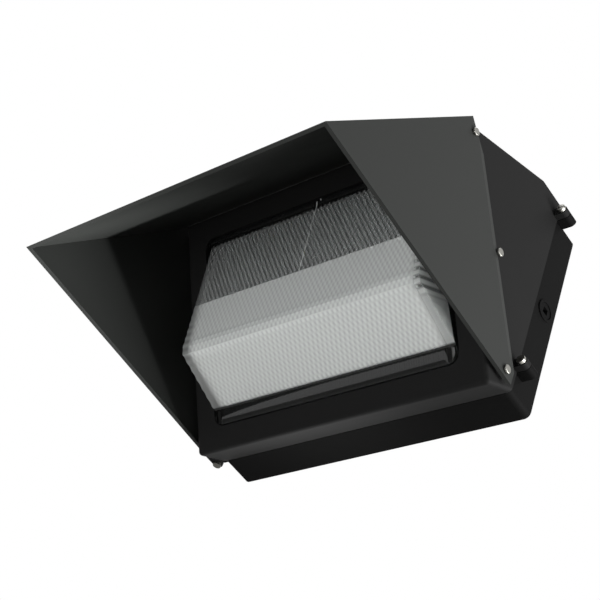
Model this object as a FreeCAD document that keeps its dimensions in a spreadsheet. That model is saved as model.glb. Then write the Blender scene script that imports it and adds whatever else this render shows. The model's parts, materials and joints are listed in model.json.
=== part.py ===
"""Wall pack light: two-part cast housing, prismatic glass, sheet steel cutoff hood and lamp gear.

Frame: origin in the middle of the wall face of the rear housing, +X to the right seen from the
front, +Y into the wall, +Z up.  The sloping front of the door is "the face": places on it are
given as x, slope (up the face from its middle) and proud (outwards from it).
"""
import FreeCAD
import Part
import Sketcher
import math
import os

from FreeCAD import Placement, Rotation, Vector

DOC = FreeCAD.newDocument("wall_pack_light")
SHEET = DOC.addObject("Spreadsheet::Sheet", "Sizes")
NODES = []

# ---------------------------------------------------------------- driving sizes, millimetres
SIZES = [
    ("housing_width", 400, "rear housing, side to side"),
    ("housing_height", 280, "rear housing, bottom to top"),
    ("rear_depth", 42, "wall face to the parting plane"),
    ("rear_skin", 4, "back wall of the rear housing"),
    ("rim_wall", 7, "side walls of the rear housing"),
    ("corner_round", 8, "corners of the rear housing seen from the front"),
    ("cavity_round", 5, "inner corners of the rear housing"),
    ("back_bevel", 1.5, "bevel round the wall face"),
    ("groove_inset", 1.5, "rim edge to the gasket groove"),
    ("groove_width", 4, "gasket groove"),
    ("groove_depth", 2.5, "gasket groove"),
    ("parting_gap", 0.6, "rear housing rim to door rim, gasket pressed"),
    ("gasket_play", 0.1, "gasket to door rim"),
    ("door_step", 2.2, "door side beyond rear housing side"),
    ("door_wall", 4, "door casting"),
    ("door_flange", 5, "flange round the door's rear opening, front to back"),
    ("door_round", 5, "outer edges of the door"),
    ("crown_rise", 20, "door top above the rear housing top"),
    ("crown_depth", 83, "wall to the front end of the flat door top"),
    ("brow_depth", 209, "wall to the bend in the sloping door top"),
    ("brow_level", 103, "height of that bend above the centre line"),
    ("lip_depth", 80, "wall to the bottom edge of the face"),
    ("lip_drop", 22, "bottom edge of the face below the rear housing"),
    ("face_tilt", 33.7, "degrees the face leans back from upright"),
    ("face_length", 289.5, "face, bottom edge to top edge"),
    ("face_border", 28, "face edge to glass opening, top and bottom"),
    ("side_border", 30.2, "door side to glass opening"),
    ("opening_round", 14, "corners of the glass opening"),
    ("lens_gap", 1.5, "glass to the edge of its opening"),
    ("lens_lap", 8, "glass flange behind the opening's edge"),
    ("glass", 5, "wall of the refractor"),
    ("lens_seal", 2, "flat seal under the glass flange"),
    ("plinth_rise", 1, "ribbed rim of the glass, proud of the face"),
    ("nose_rise", 53, "ridge of the glass, proud of the face"),
    ("nose_slope", 34.5, "ridge of the glass, below the face's middle"),
    ("nose_inset", 2.5, "end of the ridge inside the foot of the lower facet"),
    ("ridge_half", 4, "half width of the flat on the ridge"),
    ("bowl_inset", 1, "side of the ribbed rim to the foot of the lower facet"),
    ("bowl_drop", 97.5, "foot of the lower facet, below the face's middle"),
    ("bowl_top", 108, "foot of the upper facet, above the face's middle"),
    ("bowl_taper", 11.5, "how much narrower the raised glass is at its upper end, each side"),
    ("hood_sheet", 1.5, "steel sheet of the hood"),
    ("hood_stand", 7.3, "door side to hood side, length of the bosses between"),
    ("hood_reach", 399, "wall to the front edge of the hood"),
    ("hood_front_drop", 126, "front edge of the hood below the centre line"),
    ("hood_top_length", 277.5, "top panel of the hood, front to rear"),
    ("hood_pitch", 52.5, "degrees the top panel falls to the front"),
    ("hood_lap_top", 29.5, "hood side behind the face, near the top"),
    ("hood_lap_bottom", 37.5, "hood side behind the face, near the bottom"),
    ("hood_cut_top", 35, "slanted top rear corner, measured down the face"),
    ("hood_cut_bottom", 275, "slanted bottom rear corner, measured down the face"),
    ("hood_tip_depth", 57, "wall to the rear tip of the hood's bottom edge"),
    ("hood_tip_drop", 146, "that tip below the centre line"),
    ("hem", 3, "inward hem along the hood's open edges"),
    ("hood_boss", 6.5, "radius of the hood bosses on the door"),
    ("hood_screw_top", 12.5, "top hood screw, measured down the face"),
    ("hood_screw_mid", 145, "middle hood screw, measured down the face"),
    ("hood_screw_low", 274, "bottom hood screw, measured down the face"),
    ("hood_screw_lap", 17, "top hood screw behind the face"),
    ("hood_mid_lap", 36.5, "middle hood screw behind the face"),
    ("hood_low_lap", 22, "bottom hood screw behind the face"),
    ("hood_head", 4.8, "head radius of a hood screw"),
    ("hood_head_rise", 3.2, "head height of a hood screw"),
    ("hood_thread", 2.5, "shank radius of a hood screw"),
    ("hood_shank", 12, "shank length of a hood screw under its head"),
    ("hinge_offset", 9, "door side to hinge axis"),
    ("ear_radius", 6.5, "round end of a hinge ear"),
    ("ear_thick", 14, "hinge ear along the pin"),
    ("ear_low", 112, "inner end of the hinge ears, from the centre line"),
    ("ear_reach", 14, "straight part of a hinge ear"),
    ("ear_gap", 0.4, "between the two ears of one hinge"),
    ("pin_radius", 3, "hinge pin"),
    ("pin_play", 0.08, "hinge pin in the door ear"),
    ("pin_head", 5, "head radius of the hinge pin"),
    ("pin_head_rise", 3, "head height of the hinge pin"),
    ("lug_offset", 12, "rear housing side to closing screw axis"),
    ("lug_radius", 6, "closing screw lugs"),
    ("lug_top_level", 137, "upper closing screw above the centre line"),
    ("lug_low_level", 107, "lower closing screw below the centre line"),
    ("rear_lug", 14, "length of the lug on the rear housing"),
    ("door_lug", 8, "length of the lug on the door"),
    ("closing_radius", 3, "shank of a closing screw"),
    ("closing_play", 0.4, "closing screw in its lugs"),
    ("closing_grip", 10, "closing screw past the parting plane"),
    ("closing_head", 5.2, "head radius of a closing screw"),
    ("closing_head_rise", 4, "head height of a closing screw"),
    ("head_play", 0.2, "head to lug"),
    ("wall_hole_x", 150, "wall screw holes from the middle"),
    ("wall_hole_z", 95, "wall screw holes above and below the middle"),
    ("wall_hole", 3.5, "radius of a wall screw hole"),
    ("wall_boss", 9, "radius of the bosses round the wall screw holes"),
    ("boss_rise", 6, "height of the bosses inside the rear housing"),
    ("entry_radius", 11.1, "conduit entry in the back"),
    ("entry_drop", 60, "conduit entry below the middle"),
    ("conduit_radius", 10.5, "side conduit entries"),
    ("conduit_ring", 13, "raised ring round a side entry"),
    ("conduit_ring_rise", 1.5, "height of that ring"),
    ("conduit_depth", 21, "wall to the middle of a side entry"),
    ("conduit_level", 1.5, "side entries above the centre line"),
    ("plug_inset", 1, "plug face inside the ring"),
    ("plug_key", 4, "key socket of a conduit plug, half across"),
    ("plug_key_deep", 5, "key socket of a conduit plug"),
    ("small_boss", 5, "radius of the small inner bosses"),
    ("screw_radius", 2, "shank of the small screws"),
    ("screw_head", 3.8, "head radius of the small screws"),
    ("screw_head_rise", 2.4, "head height of the small screws"),
    ("screw_bite", 5, "small screw into its boss"),
    ("small_round", 3, "corners of small moulded parts"),
    ("slot_half", 0.6, "driver slot of a closing screw, half width"),
    ("slot_deep", 1.5, "driver slot of a closing screw"),
    ("bracket_sheet", 1.5, "steel sheet of the inner brackets"),
    ("tray_half", 125, "half width of the gear tray"),
    ("tray_low", 64, "bottom edge of the gear tray above the centre line"),
    ("tray_high", 131, "top edge of the gear tray above the centre line"),
    ("tray_screw_x", 117, "gear tray screws from the middle"),
    ("tray_screw_inset", 8, "gear tray screws from the tray's edges"),
    ("tray_lip", 8, "bent edge of the gear tray"),
    ("core_half", 48, "half width of the ballast core"),
    ("core_deep", 80, "ballast core, front to back"),
    ("core_low", 82, "underside of the ballast core above the centre line"),
    ("core_stack", 34, "height of the lamination stack"),
    ("leg_half", 14, "half width of the core's middle leg"),
    ("window_half", 33, "core middle to the far side of a window"),
    ("yoke", 15, "core end to a window"),
    ("coil_play", 0.4, "coil inside its window"),
    ("coil_turn", 12, "coil beyond the stack"),
    ("core_bolt_inset", 6, "through bolts from the core's sides"),
    ("core_bolt", 2.2, "radius of a through bolt"),
    ("core_bolt_head", 4.2, "radius of a through bolt's head"),
    ("can_x", 94, "middle of the capacitor"),
    ("can_half_wide", 24, "half width of the capacitor"),
    ("can_half_tall", 16, "half height of the capacitor"),
    ("can_long", 88, "length of the capacitor"),
    ("strap", 1, "capacitor strap sheet"),
    ("strap_wide", 14, "capacitor strap"),
    ("strap_foot", 9, "feet of the capacitor strap"),
    ("ignitor_x", 92, "middle of the ignitor"),
    ("ignitor_half", 17, "half width of the ignitor"),
    ("ignitor_tall", 16, "half height of the ignitor"),
    ("ignitor_deep", 44, "ignitor, front to back"),
    ("terminal_half", 36, "half width of the terminal block"),
    ("terminal_low", 118, "underside of the terminal block below the centre line"),
    ("terminal_tall", 22, "height of the terminal block"),
    ("terminal_deep", 20, "terminal block, front to back"),
    ("terminal_pitch", 20, "terminal screws"),
    ("terminal_slot", 6, "wire pocket of the terminal block"),
    ("ground_x", 70, "ground screw left of the middle"),
    ("ground_level", 107, "ground screw below the centre line"),
    ("reflector_sheet", 1, "aluminium of the reflector"),
    ("reflector_front", 14, "reflector rim behind the face"),
    ("reflector_back", 92, "reflector back behind the face"),
    ("reflector_clear", 22, "side of the glass opening to the reflector's mouth"),
    ("reflector_tall", 108, "half height of the reflector's mouth"),
    ("reflector_taper", 10, "how much narrower the reflector's back is, each side"),
    ("reflector_back_tall", 55, "half height of the reflector's back"),
    ("reflector_round", 10, "corners of the reflector"),
    ("lamp_hole", 23, "radius of the lamp hole in the reflector"),
    ("lamp_slope", 5, "lamp axis above the face's middle"),
    ("lamp_behind", 38, "lamp axis behind the face"),
    ("arm_x", 80, "reflector arms from the middle"),
    ("arm_tab", 18, "width of an arm's tab and foot"),
    ("arm_tab_half", 40, "half length of an arm's tab on the reflector"),
    ("arm_foot_low", 42, "arm foot, from below the centre line"),
    ("arm_foot_high", 30, "arm foot, to above the centre line"),
    ("arm_screw", 28, "reflector screws above and below the face's middle"),
    ("socket_clear", 10.5, "outer end of the lamp socket inside the housing's side"),
    ("socket_long", 37.5, "length of the lamp socket"),
    ("socket_radius", 25, "lamp socket"),
    ("socket_back", 10, "porcelain behind the screw shell"),
    ("shell_sheet", 0.8, "brass screw shell"),
    ("lamp_base", 19.5, "radius of the lamp's screw base"),
    ("lamp_base_long", 39, "lamp's screw base"),
    ("lamp_play", 0.3, "lamp base in its socket"),
    ("bulb_radius", 44.5, "lamp bulb"),
    ("bulb_long", 172, "lamp bulb beyond its base"),
    ("neck_radius", 20, "neck of the bulb"),
    ("bulb_glass", 1.2, "wall of the bulb"),
    ("arc_radius", 8, "arc tube"),
    ("arc_half", 24, "half length of the arc tube"),
    ("arc_place", 88, "base to the middle of the arc tube"),
    ("arc_end", 4, "end of the arc tube, and the stem that holds it"),
    ("contact_radius", 7, "centre contact of the lamp's base"),
    ("contact_rise", 8, "height of the cone behind the centre contact"),
    ("clip_x", 110, "lens clips from the middle"),
    ("clip_slope", 132, "lens clip screws from the face's middle"),
    ("clip_half_wide", 7, "half width of a lens clip"),
    ("clip_reach", 12, "clip screw to the clip's inner end"),
    ("clip_tail", 6, "clip screw to the clip's outer end"),
    ("clip_sheet", 1.2, "lens clip"),
    ("bridge", 1, "how far an added boss or web reaches into the wall that it grows from"),
    ("cut_over", 20, "how far a cut runs past the solid that it opens"),
    ("hem_short", 3, "end of the hem before the hood's rear tip"),
    ("socket_foot", 20, "width of the socket bracket's foot"),
    ("socket_foot_high", 25, "upper end of that foot below the centre line"),
    ("socket_foot_low", 70, "lower end of that foot below the centre line"),
    ("socket_neck", 16, "half height of the socket bracket at the socket"),
]

# ---------------------------------------------------------------- sizes that follow from them
DERIVED = [
    ("half_width", "housing_width / 2"),
    ("half_height", "housing_height / 2"),
    ("door_half", "half_width + door_step"),
    ("door_back", "rear_depth + parting_gap"),
    ("crown_level", "half_height + crown_rise"),
    ("lip_level", "half_height + lip_drop"),
    ("sine", "sin(face_tilt)"),
    ("cosine", "cos(face_tilt)"),
    ("face_half", "face_length / 2"),
    ("face_top_depth", "lip_depth + face_length * sine"),
    ("face_top_level", "face_length * cosine - lip_level"),
    ("face_depth", "lip_depth + face_half * sine"),
    ("face_level", "face_half * cosine - lip_level"),
    ("opening_half", "door_half - side_border"),
    ("opening_tall", "face_half - face_border"),
    ("flange_half", "opening_half + lens_lap"),
    ("flange_tall", "opening_tall + lens_lap"),
    ("plinth_half", "opening_half - lens_gap"),
    ("plinth_tall", "opening_tall - lens_gap"),
    ("bowl_half", "plinth_half - bowl_inset"),
    ("bowl_top_half", "bowl_half - bowl_taper"),
    ("nose_half", "bowl_half - nose_inset"),
    ("reflector_half", "opening_half - reflector_clear"),
    ("reflector_back_half", "reflector_half - reflector_taper"),
    ("socket_end", "half_width - socket_clear"),
    ("socket_mouth", "socket_end - socket_long"),
    ("lens_seat", "door_wall + lens_seal"),
    ("lens_back", "lens_seat + glass"),
    ("clip_back", "lens_back + clip_sheet"),
    ("hood_inside", "door_half + hood_stand"),
    ("hood_half", "hood_inside + hood_sheet"),
    ("hood_rear_depth", "hood_reach - hood_top_length * cos(hood_pitch)"),
    ("hood_rear_level", "hood_top_length * sin(hood_pitch) - hood_front_drop"),
    ("hinge_x", "door_half + hinge_offset"),
    ("ear_high", "ear_low + ear_thick"),
    ("door_ear_low", "ear_high + ear_gap"),
    ("door_ear_high", "door_ear_low + ear_thick"),
    ("lug_x", "half_width + lug_offset"),
    ("lug_back", "rear_depth - rear_lug"),
    ("lug_front", "door_back + door_lug"),
    ("mouth_depth", "rear_skin + boss_rise"),
    ("tray_front", "mouth_depth + bracket_sheet"),
    ("core_high", "core_low + core_stack"),
    ("core_middle", "core_low + core_stack / 2"),
    ("core_front", "tray_front + core_deep"),
    ("lamp_depth", "face_depth + lamp_slope * sine - lamp_behind * cosine"),
    ("lamp_level", "face_level + lamp_slope * cosine + lamp_behind * sine"),
    ("lamp_tip", "socket_end - socket_back - lamp_play"),
    ("arm_front", "reflector_back + bracket_sheet"),
    ("door_width", "2 * door_half"),
    ("hood_width", "2 * hood_half"),
    ("hood_clear", "2 * hood_inside"),
    ("groove_far", "groove_inset + groove_width"),
    ("groove_outer_round", "corner_round - groove_inset"),
    ("groove_inner_round", "groove_outer_round - groove_width"),
    ("closing_bore", "closing_radius + closing_play"),
    ("closing_well", "closing_grip + 2"),
    ("plug_length", "rim_wall + conduit_ring_rise - plug_inset"),
    ("door_pin_bore", "pin_radius + pin_play"),
    ("arm_tab_mid", "arm_tab / 2"),
    ("arm_foot_tap_high", "arm_foot_high - small_boss - 2"),
    ("arm_foot_tap_low", "arm_foot_low - small_boss - 2"),
    ("terminal_mid", "terminal_low - terminal_tall / 2"),
    ("terminal_high", "terminal_low - terminal_tall"),
    ("terminal_screw_x", "terminal_half + small_boss"),
    ("terminal_ear", "terminal_screw_x + small_boss"),
    ("reflector_inner_round", "reflector_round - reflector_sheet"),
    ("pinch", "cut_over * cos(hood_pitch)"),
    ("rise", "cut_over * sin(hood_pitch)"),
    ("inner_front_depth", "hood_reach - hood_sheet * sin(hood_pitch) + pinch"),
    ("inner_front_drop", "hood_front_drop + hood_sheet * cos(hood_pitch) + rise"),
    ("inner_rear_depth", "hood_rear_depth - hood_sheet * sin(hood_pitch) - pinch"),
    ("inner_rear_level", "hood_rear_level - hood_sheet * cos(hood_pitch) + rise"),
    ("hem_fall", "atan((hood_tip_drop - hood_front_drop) / (hood_reach - hood_tip_depth))"),
    ("hem_length", "(hood_reach - hood_tip_depth) / cos(hem_fall) - hem_short"),
    ("hem_inside", "hood_inside - hem"),
    ("nose_top", "ridge_half - nose_slope"),
    ("nose_low", "nose_slope + ridge_half"),
    ("core_window_front", "core_front - yoke"),
    ("core_window_back", "tray_front + yoke"),
    ("core_bolt_x", "core_half - core_bolt_inset"),
    ("core_bolt_back", "tray_front + core_bolt_inset"),
    ("core_bolt_front", "core_front - core_bolt_inset"),
    ("can_left", "can_x - can_half_wide"),
    ("can_right", "can_x + can_half_wide"),
    ("can_low", "core_middle - can_half_tall"),
    ("can_high", "core_middle + can_half_tall"),
    ("can_round", "can_half_tall * 0.98"),
    ("strap_round", "can_round + strap"),
    ("ignitor_near", "ignitor_x - ignitor_half"),
    ("ignitor_far", "ignitor_x + ignitor_half"),
    ("ignitor_low", "core_middle - ignitor_tall"),
    ("ignitor_high", "core_middle + ignitor_tall"),
    ("shell_inside", "lamp_base + lamp_play"),
    ("shell_outside", "shell_inside + shell_sheet"),
    ("shell_back", "socket_end - socket_back"),
    ("lamp_neck_x", "lamp_tip - lamp_base_long"),
    ("socket_plate", "socket_end + bracket_sheet"),
    ("socket_foot_x", "socket_plate - socket_foot / 2 - bracket_sheet"),
    ("socket_foot_tap_high", "socket_foot_high + small_boss + 2"),
    ("socket_foot_tap_low", "socket_foot_low - small_boss - 2"),
]


def set_cell(row, name, content, note):
    SHEET.set("A%d" % row, name)
    SHEET.set("B%d" % row, content)
    SHEET.set("C%d" % row, note)
    SHEET.setAlias("B%d" % row, name)


def fill_sheet():
    row = 1
    for name, number, note in SIZES:
        set_cell(row, name, str(number), note)
        row += 1
    for name, formula in DERIVED + face_formulas():
        set_cell(row, name, "=" + formula, "")
        row += 1
    DOC.recompute()


def size(words):
    """Value of a sum of sheet names, such as "half_width - rim_wall"."""
    total = 0.0
    sign = 1.0
    for word in words.split():
        if word in "+-":
            sign = 1.0 if word == "+" else -1.0
        elif word != "0":
            total += sign * float(SHEET.get(word))
            sign = 1.0
    return total


def linked(words):
    """The same sum as an expression that stays bound to the sheet."""
    return " ".join(word if word in "+-0" else "Sizes." + word for word in words.split())


# ---------------------------------------------------------------- sketches and features
def new_body(label):
    body = DOC.addObject("PartDesign::Body", label)
    body.Label = label
    NODES.append(body)
    return body


def bind(thing, path, words):
    thing.setExpression(path, linked(words))


def new_sketch(body, plane, lift=None):
    """Sketch on an origin plane of the body, lifted along the plane's normal."""
    sketch = body.newObject("Sketcher::SketchObject", body.Label + "_sketch")
    support = [item for item in body.Origin.OriginFeatures if item.Role == plane + "_Plane"]
    sketch.AttachmentSupport = (support[0], [""])
    sketch.MapMode = "FlatFace"
    if lift:
        bind(sketch, "AttachmentOffset.Base.z", lift)
    return sketch


def face_sketch(body, proud):
    """Sketch parallel to the sloping face: its x is +X and its y runs up the slope."""
    sketch = new_sketch(body, "XZ")
    reach = size(proud)
    depth = size("face_depth") + reach * size("cosine")
    level = size("face_level") - reach * size("sine")
    turn = Rotation(Vector(1, 0, 0), size("face_tilt"))
    sketch.AttachmentOffset = Placement(Vector(0, level, depth), turn)
    bind(sketch, "AttachmentOffset.Rotation.Angle", "face_tilt")
    sketch.setExpression("AttachmentOffset.Base.y",
                         "Sizes.face_level - (%s) * Sizes.sine" % linked(proud))
    sketch.setExpression("AttachmentOffset.Base.z",
                         "Sizes.face_depth + (%s) * Sizes.cosine" % linked(proud))
    return sketch


def hold(sketch, kind, words, *where):
    """Constraint whose value stays bound to the sheet."""
    index = sketch.addConstraint(Sketcher.Constraint(kind, *where, size(words)))
    name = "%s_%d" % (kind.lower(), index)
    sketch.renameConstraint(index, name)
    bind(sketch, "Constraints." + name, words)


def polygon(sketch, corners):
    """Closed outline through corners given as pairs of sums of sheet names."""
    places = [Vector(size(across), size(along), 0) for across, along in corners]
    first = sketch.GeometryCount
    count = len(corners)
    for i in range(count):
        sketch.addGeometry(Part.LineSegment(places[i], places[(i + 1) % count]))
    for i in range(count):
        follower = first + (i + 1) % count
        sketch.addConstraint(Sketcher.Constraint("Coincident", first + i, 2, follower, 1))
        hold(sketch, "DistanceX", corners[i][0], first + i, 1)
        hold(sketch, "DistanceY", corners[i][1], first + i, 1)


def rectangle(sketch, left, right, bottom, top):
    polygon(sketch, [(left, bottom), (right, bottom), (right, top), (left, top)])


def disc(sketch, across, along, radius):
    index = sketch.addGeometry(
        Part.Circle(Vector(size(across), size(along), 0), Vector(0, 0, 1), size(radius)))
    hold(sketch, "DistanceX", across, index, 3)
    hold(sketch, "DistanceY", along, index, 3)
    hold(sketch, "Radius", radius, index)


def rounded(sketch, left, right, bottom, top, radius):
    """Rectangle with four equal round corners, each a quarter circle."""
    centres = [(right + " - " + radius, top + " - " + radius),
               (left + " + " + radius, top + " - " + radius),
               (left + " + " + radius, bottom + " + " + radius),
               (right + " - " + radius, bottom + " + " + radius)]
    bend = size(radius)
    arcs = []
    ends = []
    for i in range(4):
        centre = Vector(size(centres[i][0]), size(centres[i][1]), 0)
        start = i * math.pi / 2
        circle = Part.Circle(centre, Vector(0, 0, 1), bend)
        arcs.append(sketch.addGeometry(Part.ArcOfCircle(circle, start, start + math.pi / 2)))
        ends.append([centre + Vector(math.cos(a), math.sin(a), 0) * bend
                     for a in (start, start + math.pi / 2)])
        hold(sketch, "DistanceX", centres[i][0], arcs[i], 3)
        hold(sketch, "DistanceY", centres[i][1], arcs[i], 3)
        hold(sketch, "Radius", radius, arcs[i])
    for i in range(4):
        after = (i + 1) % 4
        line = sketch.addGeometry(Part.LineSegment(ends[i][1], ends[after][0]))
        sketch.addConstraint(Sketcher.Constraint("Tangent", arcs[i], 2, line, 1))
        sketch.addConstraint(Sketcher.Constraint("Tangent", line, 2, arcs[after], 1))


def extrude(body, kind, sketch, length, both=False, back=False):
    feature = body.newObject("PartDesign::" + kind, body.Label + "_" + kind.lower())
    feature.Profile = sketch
    if length:
        bind(feature, "Length", length)
    else:
        feature.Type = "ThroughAll"
    feature.Reversed = back
    feature.SideType = "Symmetric" if both else "One side"
    DOC.recompute()
    return feature


def pad(body, sketch, length, both=False, back=False):
    return extrude(body, "Pad", sketch, length, both, back)


def pocket(body, sketch, length=None, both=False, back=False):
    return extrude(body, "Pocket", sketch, length, both, back)


def loft(body, kind, base, top):
    feature = body.newObject("PartDesign::" + kind, body.Label + "_" + kind.lower())
    feature.Profile = base
    feature.Sections = [top]
    feature.Ruled = True
    DOC.recompute()
    return feature


def mirror(body, features, plane="YZ"):
    """Copies of the features on the other side of an origin plane."""
    twin = body.newObject("PartDesign::Mirrored", body.Label + "_mirrored")
    support = [item for item in body.Origin.OriginFeatures if item.Role == plane + "_Plane"]
    twin.Originals = features
    twin.MirrorPlane = (support[0], [""])
    body.Tip = twin
    DOC.recompute()
    return twin


def turned(body, corners):
    """Solid of revolution about the body's X axis, from (x, radius) corners."""
    sketch = new_sketch(body, "XY")
    polygon(sketch, corners)
    feature = body.newObject("PartDesign::Revolution", body.Label + "_revolution")
    feature.Profile = sketch
    feature.ReferenceAxis = (sketch, ["H_Axis"])
    feature.Angle = 360
    DOC.recompute()
    return feature


def round_edges(body, chosen, radius):
    """Fillet the edges of the body's tip that the chooser accepts."""
    base = body.Tip
    names = ["Edge%d" % (i + 1) for i, edge in enumerate(base.Shape.Edges) if chosen(edge)]
    fillet = body.newObject("PartDesign::Fillet", body.Label + "_fillet")
    fillet.Base = (base, names)
    bind(fillet, "Radius", radius)
    DOC.recompute()
    return fillet


def bevel_edges(body, chosen, width):
    base = body.Tip
    names = ["Edge%d" % (i + 1) for i, edge in enumerate(base.Shape.Edges) if chosen(edge)]
    chamfer = body.newObject("PartDesign::Chamfer", body.Label + "_chamfer")
    chamfer.Base = (base, names)
    bind(chamfer, "Size", width)
    DOC.recompute()
    return chamfer


def seat_on_face(body):
    """Put a body whose XY plane is the face, x across and y up the slope, on the door."""
    turn = Rotation(Vector(1, 0, 0), 90 + size("face_tilt"))
    place = Vector(0, -size("face_depth"), size("face_level"))
    body.Placement = Placement(place, turn)
    body.setExpression("Placement.Base.y", "-Sizes.face_depth")
    bind(body, "Placement.Base.z", "face_level")
    body.setExpression("Placement.Rotation.Angle", "90 + Sizes.face_tilt")


def seat_on_lamp_axis(body):
    """Put a body that is turned about its own X axis on the lamp's axis."""
    body.setExpression("Placement.Base.y", "-Sizes.lamp_depth")
    bind(body, "Placement.Base.z", "lamp_level")


def face_formulas():
    """Depth and level of the places that are laid out along the face, as sheet formulas."""
    on_side = [("hood_a", "hood_cut_top", "hood_lap_top"),
               ("hood_b", "hood_cut_bottom", "hood_lap_bottom"),
               ("bolt_a", "hood_screw_top", "hood_screw_lap"),
               ("bolt_b", "hood_screw_mid", "hood_mid_lap"),
               ("bolt_c", "hood_screw_low", "hood_low_lap")]
    cells = []
    for name, down, behind in on_side:
        cells.append((name + "_depth", "face_top_depth - %s * sine - %s * cosine" % (down, behind)))
        cells.append((name + "_level", "face_top_level - %s * cosine + %s * sine" % (down, behind)))
    for name, slope in (("arm_high", "arm_tab_half"), ("arm_low", "(0 - arm_tab_half)")):
        cells.append((name + "_depth", "face_depth + %s * sine - arm_front * cosine" % slope))
        cells.append((name + "_level", "face_level + %s * cosine + arm_front * sine" % slope))
    return cells


# ---------------------------------------------------------------- rear housing and what it holds
def rear_housing():
    """Shallow cast tray that is screwed to the wall."""
    body = new_body("rear_housing")
    outline = new_sketch(body, "XZ")
    rounded(outline, "- half_width", "half_width", "- half_height", "half_height", "corner_round")
    pad(body, outline, "rear_depth")
    bevel_edges(body, lambda edge: edge.BoundBox.YMin > -0.01, "back_bevel")

    cavity = new_sketch(body, "XZ", "rear_depth")
    rounded(cavity, "- half_width + rim_wall", "half_width - rim_wall",
            "- half_height + rim_wall", "half_height - rim_wall", "cavity_round")
    hollow = pocket(body, cavity, "rear_depth")
    bind(hollow, "Length", "rear_depth - rear_skin")

    groove = new_sketch(body, "XZ", "rear_depth")
    groove_outline(groove)
    pocket(body, groove, "groove_depth")

    bosses = new_sketch(body, "XZ", "rear_skin - bridge")
    for side in ("", "- "):
        for high in ("", "- "):
            disc(bosses, side + "wall_hole_x", high + "wall_hole_z", "wall_boss")
    for across, along in tray_screws() + arm_screws() + socket_screws() + block_screws():
        disc(bosses, across, along, "small_boss")
    disc(bosses, "- ground_x", "- ground_level", "small_boss")
    pad(body, bosses, "boss_rise + bridge")

    wall_holes = new_sketch(body, "XZ")
    for side in ("", "- "):
        for high in ("", "- "):
            disc(wall_holes, side + "wall_hole_x", high + "wall_hole_z", "wall_hole")
    disc(wall_holes, "0", "- entry_drop", "entry_radius")
    pocket(body, wall_holes, back=True)

    taps = new_sketch(body, "XZ", "mouth_depth")
    for across, along in tray_screws() + arm_screws() + socket_screws() + block_screws():
        disc(taps, across, along, "screw_radius")
    disc(taps, "- ground_x", "- ground_level", "screw_radius")
    pocket(body, taps, "screw_bite")

    side_entries(body)
    rear_lugs(body)
    rear_ears(body)
    return body


def groove_outline(sketch):
    """Two nested outlines of the gasket groove on the rim."""
    for step, bend in (("groove_inset", "groove_outer_round"), ("groove_far", "groove_inner_round")):
        rounded(sketch, "- half_width + " + step, "half_width - " + step,
                "- half_height + " + step, "half_height - " + step, bend)


def tray_screws():
    """Centres of the gear tray screws."""
    return [(side + "tray_screw_x", level)
            for side in ("", "- ")
            for level in ("tray_low + tray_screw_inset", "tray_high - tray_screw_inset")]


def arm_screws():
    """Centres of the screws in the feet of the reflector arms."""
    return [("arm_x + arm_tab_mid", "arm_foot_tap_high"), ("- arm_x - arm_tab_mid", "arm_foot_tap_high"),
            ("arm_x + arm_tab_mid", "- arm_foot_tap_low"), ("- arm_x - arm_tab_mid", "- arm_foot_tap_low")]


def socket_screws():
    """Centres of the screws in the foot of the socket bracket."""
    return [("- socket_foot_x", "- socket_foot_tap_high"), ("- socket_foot_x", "- socket_foot_tap_low")]


def block_screws():
    """Centres of the screws at the ends of the terminal block."""
    return [("terminal_screw_x", "- terminal_mid"), ("- terminal_screw_x", "- terminal_mid")]


def side_entries(body):
    """Raised rings and tapped holes for conduit, one in each side wall."""
    ring = new_sketch(body, "YZ", "half_width - bridge")
    disc(ring, "- conduit_depth", "conduit_level", "conduit_ring")
    raised = pad(body, ring, "conduit_ring_rise + bridge")
    mirror(body, [raised])
    hole = new_sketch(body, "YZ")
    disc(hole, "- conduit_depth", "conduit_level", "conduit_radius")
    pocket(body, hole, both=True)


def rear_lugs(body):
    """Two lugs on the right side with bores for the closing screws."""
    for level in ("lug_top_level", "- lug_low_level"):
        web = new_sketch(body, "XZ", "lug_back")
        rectangle(web, "half_width - bridge", "lug_x", level + " - lug_radius", level + " + lug_radius")
        pad(body, web, "rear_lug")
        boss = new_sketch(body, "XZ", "lug_back")
        disc(boss, "lug_x", level, "lug_radius")
        pad(body, boss, "rear_lug")
        bore = new_sketch(body, "XZ", "rear_depth")
        disc(bore, "lug_x", level, "closing_bore")
        pocket(body, bore, "closing_well")


def rear_ears(body):
    """Inner half of both hinges, on the left side."""
    for base in ("ear_low", "- ear_high"):
        block = new_sketch(body, "XY", base)
        rectangle(block, "- hinge_x - ear_radius", "- half_width + bridge",
                  "- rear_depth", "- rear_depth + ear_reach")
        pad(body, block, "ear_thick")
        knuckle = new_sketch(body, "XY", base)
        disc(knuckle, "- hinge_x", "- rear_depth", "ear_radius")
        pad(body, knuckle, "ear_thick")
    bore = new_sketch(body, "XY")
    disc(bore, "- hinge_x", "- rear_depth", "pin_radius")
    pocket(body, bore, both=True)


def housing_gasket():
    """Silicone strip in the rim groove, just proud of the rim."""
    body = new_body("housing_gasket")
    ring = new_sketch(body, "XZ", "rear_depth - groove_depth")
    groove_outline(ring)
    strip = pad(body, ring, "groove_depth")
    bind(strip, "Length", "groove_depth + parting_gap - gasket_play")


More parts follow.
